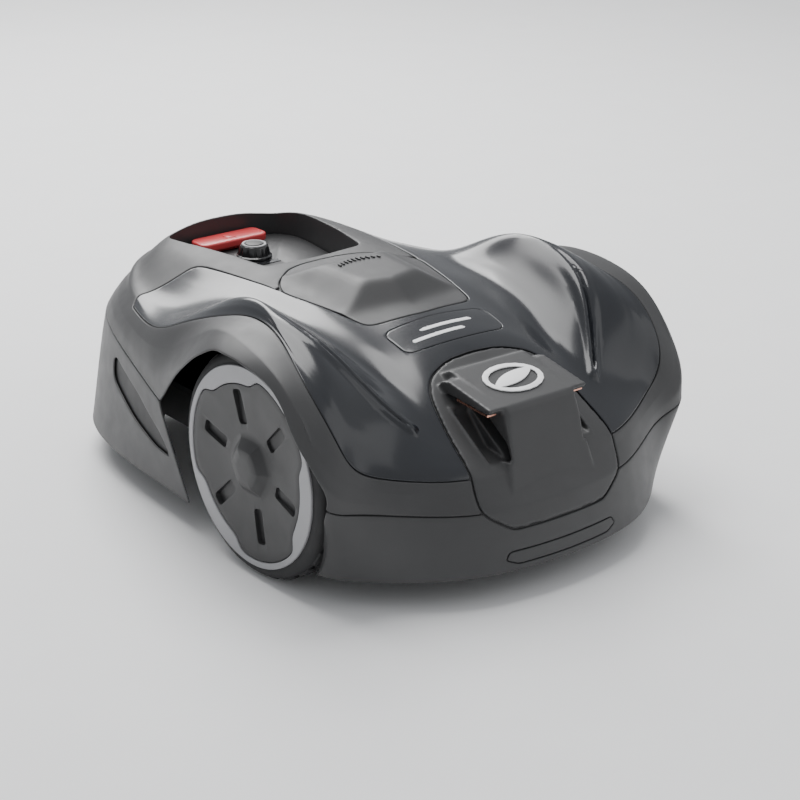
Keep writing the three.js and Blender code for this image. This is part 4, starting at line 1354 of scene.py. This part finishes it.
def block(name: str, size: tuple[float, float, float], centre: tuple[float, float, float], corner: float,
          axis: str) -> bpy.types.Object:
    """Makes a box with its four edges along one axis rounded.

    Args:
        name: Name of the piece.
        size: Width, depth and height in millimetres.
        centre: Middle of the box.
        corner: Radius of the rounding.
        axis: X, Y or Z, the direction of the rounded edges.

    Returns:
        The box.
    """
    bpy.ops.object.select_all(action="DESELECT")
    bpy.ops.mesh.primitive_cube_add(size=1)
    made = bpy.context.active_object
    made.name = name
    made.scale = [s * MM for s in size]
    made.location = [c * MM for c in centre]
    settle(made)
    along_axis = "XYZ".index(axis)
    bpy.ops.object.mode_set(mode="EDIT")
    bpy.ops.mesh.select_mode(type="EDGE")
    mesh = bmesh.from_edit_mesh(made.data)
    for element in (*mesh.faces, *mesh.edges, *mesh.verts):
        element.select = False
    for edge in mesh.edges:
        way = edge.verts[1].co - edge.verts[0].co
        edge.select = abs(way[along_axis]) > 0.9 * way.length
    bmesh.update_edit_mesh(made.data)
    bpy.ops.mesh.bevel(offset=corner * MM, segments=5, affect="EDGES")
    bpy.ops.mesh.select_mode(type="VERT")
    bpy.ops.object.mode_set(mode="OBJECT")
    return made


# ---- Controls ------------------------------------------------------------------------------


@dataclass
class Controls:
    """Recess wall, console, dial and stop button behind the hatch."""

    net: BodyNet
    console_top: float = 211.0
    console_thickness: float = 6.0
    wall_overlap: float = 9.5
    knob_y: float = 209.0
    stop_y: float = 261.0

    def build(self) -> None:
        """Builds the pieces of the control recess."""
        self._wall()
        self._console()
        self._dial()
        self._stop()

    def _wall(self) -> None:
        """Makes the shell's wall that goes down round the recess."""
        edge = RECESS.edge
        skin = self.net.points[self.net.points[:, 2] > 180]
        normals = self.net.normals[self.net.points[:, 2] > 180]
        high = np.array([self._skin_height(skin, normals, p) for p in edge])
        middle = edge.mean(0)
        way = (edge - middle) / np.linalg.norm(edge - middle, axis=1, keepdims=True)
        low = self.console_top - self.wall_overlap
        rows = []
        for out, z in ((0.0, high - 1.0), (0.3, np.full(len(edge), low)), (2.4, np.full(len(edge), low)),
                       (2.1, high - 3.2)):
            rows.append(np.concatenate([edge + way * out, z[:, None]], axis=1))
        wall = band("recess_wall", rows, poles=False)
        soften(wall, 35)
        dress(wall, MATTE_SHELL, "shell", "shell_matte")

    @staticmethod
    def _skin_height(skin: np.ndarray, normals: np.ndarray, place: np.ndarray) -> float:
        """Height of the skin at a plan point, from the tangent plane of the nearest point.

        Args:
            skin: Points of the skin's upper side.
            normals: Unit normals there.
            place: Plan point.

        Returns:
            Height in millimetres.
        """
        k = int(((skin[:, :2] - place) ** 2).sum(1).argmin())
        away = place - skin[k, :2]
        return float(skin[k, 2] - (normals[k, :2] @ away) / max(normals[k, 2], 0.3))

    def _console(self) -> None:
        """Makes the console with its wells for dial, button and window."""
        outline = Zone(mirrored(shifted([
            (0, 108.3), (59.4, 108.3), (66.8, 111.8), (76.7, 165.2), (88.7, 240.2), (88.7, 267.4),
            (76.2, 289.9), (53.7, 296.7), (0, 299.7),
        ])), View.PLAN, 10.0)
        under = self.console_top - self.console_thickness
        panel = prism("console_panel", outline.edge.tolist(), View.PLAN, under, self.console_top)
        for cutter in (
            block("well", (18.4, 18.4, 20), (0, self.knob_y, self.console_top + 6), 9.1, "Z"),
            block("well", (80, 24, 20), (0, self.stop_y, self.console_top + 6), 5, "Z"),
            block("well", (36, 10, 4), (0, self.knob_y - 26, self.console_top), 3, "Z"),
        ):
            cut_away(panel, cutter)
        round_edges(panel, 0.8, 2, 50)
        soften(panel, 35)
        dress(panel, MATTE_SHELL, "chassis", "shell_matte", "console_panel")

    def _dial(self) -> None:
        """Makes the dial's grip with its scallops, its pale ring and its push button."""
        turns = np.linspace(0, 2 * math.pi, 120, endpoint=False)
        scallop = 0.9 * np.maximum(0, np.cos(12 * turns)) ** 2

        def row(radius: float, height: float, depth: float) -> np.ndarray:
            reach = radius - depth * scallop
            return np.stack([reach * np.cos(turns), self.knob_y + reach * np.sin(turns),
                             np.full_like(turns, self.console_top + height)], 1)

        grip = band("dial_skirt", [
            row(11.2, 1.0, 0), row(20.4, 0.4, 0), row(21, 1.2, 0), row(21, 3.4, 0), row(19.4, 4.6, 1),
            row(17.2, 13.6, 1), row(16.2, 15.2, 0.3), row(14.8, 16.2, 0), row(11.2, 16.2, 0),
        ], poles=False)
        soften(grip, 35)
        dress(grip, KNOB_BLACK, "dial", "trim_dark", "dial_skirt")
        ring = band("dial_ring", [
            row(11.5, 16.3, 0), row(14.6, 16.3, 0), row(14.2, 17.1, 0), row(11.9, 17.1, 0),
        ], poles=False)
        soften(ring, 35)
        dress(ring, SILVER_TRIM, "dial", "ring_silver")
        button = band("dial_button", [
            row(0, 18, 0), row(8, 18, 0), row(10, 17.6, 0), row(10.7, 16.8, 0), row(10.7, 2, 0), row(8, 1, 0),
            row(8, -1.4, 0), row(0, -1.4, 0),
        ], poles=True)
        soften(button, 35)
        dress(button, CAP_PLASTIC, "dial_button", "cap_grey", "dial_button")

    def _stop(self) -> None:
        """Makes the red stop button with its raised generic square mark."""
        z = self.console_top
        cap = block("stop_button", (94, 32, 9.4), (0, self.stop_y, z + 8.3), 9.0, "Z")
        round_edges(cap, 2.2, 4, 60)
        stem = block("stem", (70, 16, 8), (0, self.stop_y, z + 3.4), 3.0, "Z")
        mark = block("mark", (13, 13, 1.2), (0, self.stop_y, z + 13.2), 2.5, "Z")
        round_edges(mark, 0.35, 2, 60)
        button = merge("stop_button", [cap, stem, mark])
        soften(button, 40)
        dress(button, STOP_RED, "stop_button", "stop_red", "stop_button")


# ---- Carried-over pieces -------------------------------------------------------------------


def dress_carried(frame: dict) -> None:
    """Gives every CAD node that still shows its finish.
    """
    for name, node in frame["nodes"].items():
        chosen = [finish for start, finish in CARRIED_FINISH.items() if name.startswith(start)]
        node.data.materials.clear()
        node.data.materials.append((chosen or [DARK_PLASTIC])[0].material())


# ---- Studio --------------------------------------------------------------------------------


@dataclass
class Studio:
    """Pale floor, soft lights and the camera."""

    eye: tuple[float, float, float] = (-1.33811, -1.71, 0.95976)
    yaw: float = 39.157
    pitch: float = 21.705
    roll: float = 0.634
    lens: float = 93.07

    def build(self) -> None:
        """Makes the floor, the world light, the lamps and the camera."""
        self._floor()
        self._world()
        self._lamp("key", (0.1, 1.1, 2.9), 110, 2.4)
        self._lamp("fill", (1.8, -2.2, 1.8), 10, 2.2)
        self._lamp("rim", (0.9, 2.4, 2.0), 60, 1.6)
        self._camera()

    def _floor(self) -> None:
        """Makes a wide pale floor that rises gently at its far side."""
        bpy.ops.object.select_all(action="DESELECT")
        bpy.ops.mesh.primitive_grid_add(x_subdivisions=24, y_subdivisions=24, size=12)
        floor = bpy.context.active_object
        floor.name = "studio_floor"
        for v in floor.data.vertices:
            far = max(0.0, math.hypot(v.co.x, v.co.y) - 2.6)
            v.co.z = 0.06 * far * far
        soften(floor, 60)
        settle(floor)
        finish = Finish("studio_paper", (0.86, 0.86, 0.86), 0.9, drift=0.01, relief=0.0)
        floor.data.materials.append(finish.material())

    @staticmethod
    def _world() -> None:
        """Lights the scene from all round with a soft white."""
        world = bpy.data.worlds.new("studio")
        world.use_nodes = True
        ground = world.node_tree.nodes["Background"]
        ground.inputs["Color"].default_value = (0.95, 0.97, 1.0, 1)
        ground.inputs["Strength"].default_value = 0.62
        bpy.context.scene.world = world

    @staticmethod
    def _lamp(name: str, place: tuple[float, float, float], watts: float, size: float) -> None:
        """Adds a square lamp that looks at the machine.

        Args:
            name: Name of the lamp.
            place: Where it hangs, in metres.
            watts: Its power.
            size: Its width.
        """
        data = bpy.data.lights.new(name, "AREA")
        data.energy = watts
        data.size = size
        lamp = bpy.data.objects.new(name, data)
        bpy.context.scene.collection.objects.link(lamp)
        lamp.location = place
        lamp.rotation_euler = (Vector((0, 0, 0.1)) - Vector(place)).to_track_quat("-Z", "Y").to_euler()

    def _camera(self) -> None:
        """Sets the camera at the standing viewer's angle."""
        data = bpy.data.cameras.new("camera")
        data.lens = self.lens
        data.sensor_width = 36
        data.clip_start = 0.05
        camera = bpy.data.objects.new("camera", data)
        bpy.context.scene.collection.objects.link(camera)
        turn = Matrix.Rotation(-math.radians(self.yaw), 4, "Z")
        tilt = Matrix.Rotation(math.radians(90 - self.pitch), 4, "X")
        lean = Matrix.Rotation(math.radians(self.roll), 4, "Z")
        camera.matrix_world = Matrix.Translation(self.eye) @ turn @ tilt @ lean
        bpy.context.scene.camera = camera


def main() -> None:
    """Builds the whole visual model."""
    logging.basicConfig(level=logging.INFO, format="%(message)s")
    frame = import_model()
    dress_carried(frame)
    net = BodyNet()
    BodyCovers(net).build()
    Nose(net).build()
    Controls(net).build()
    for side, sign in (("right", -1), ("left", 1)):
        DriveWheel(side, sign).build()
    Studio().build()


if __name__ == "__main__":
    main()
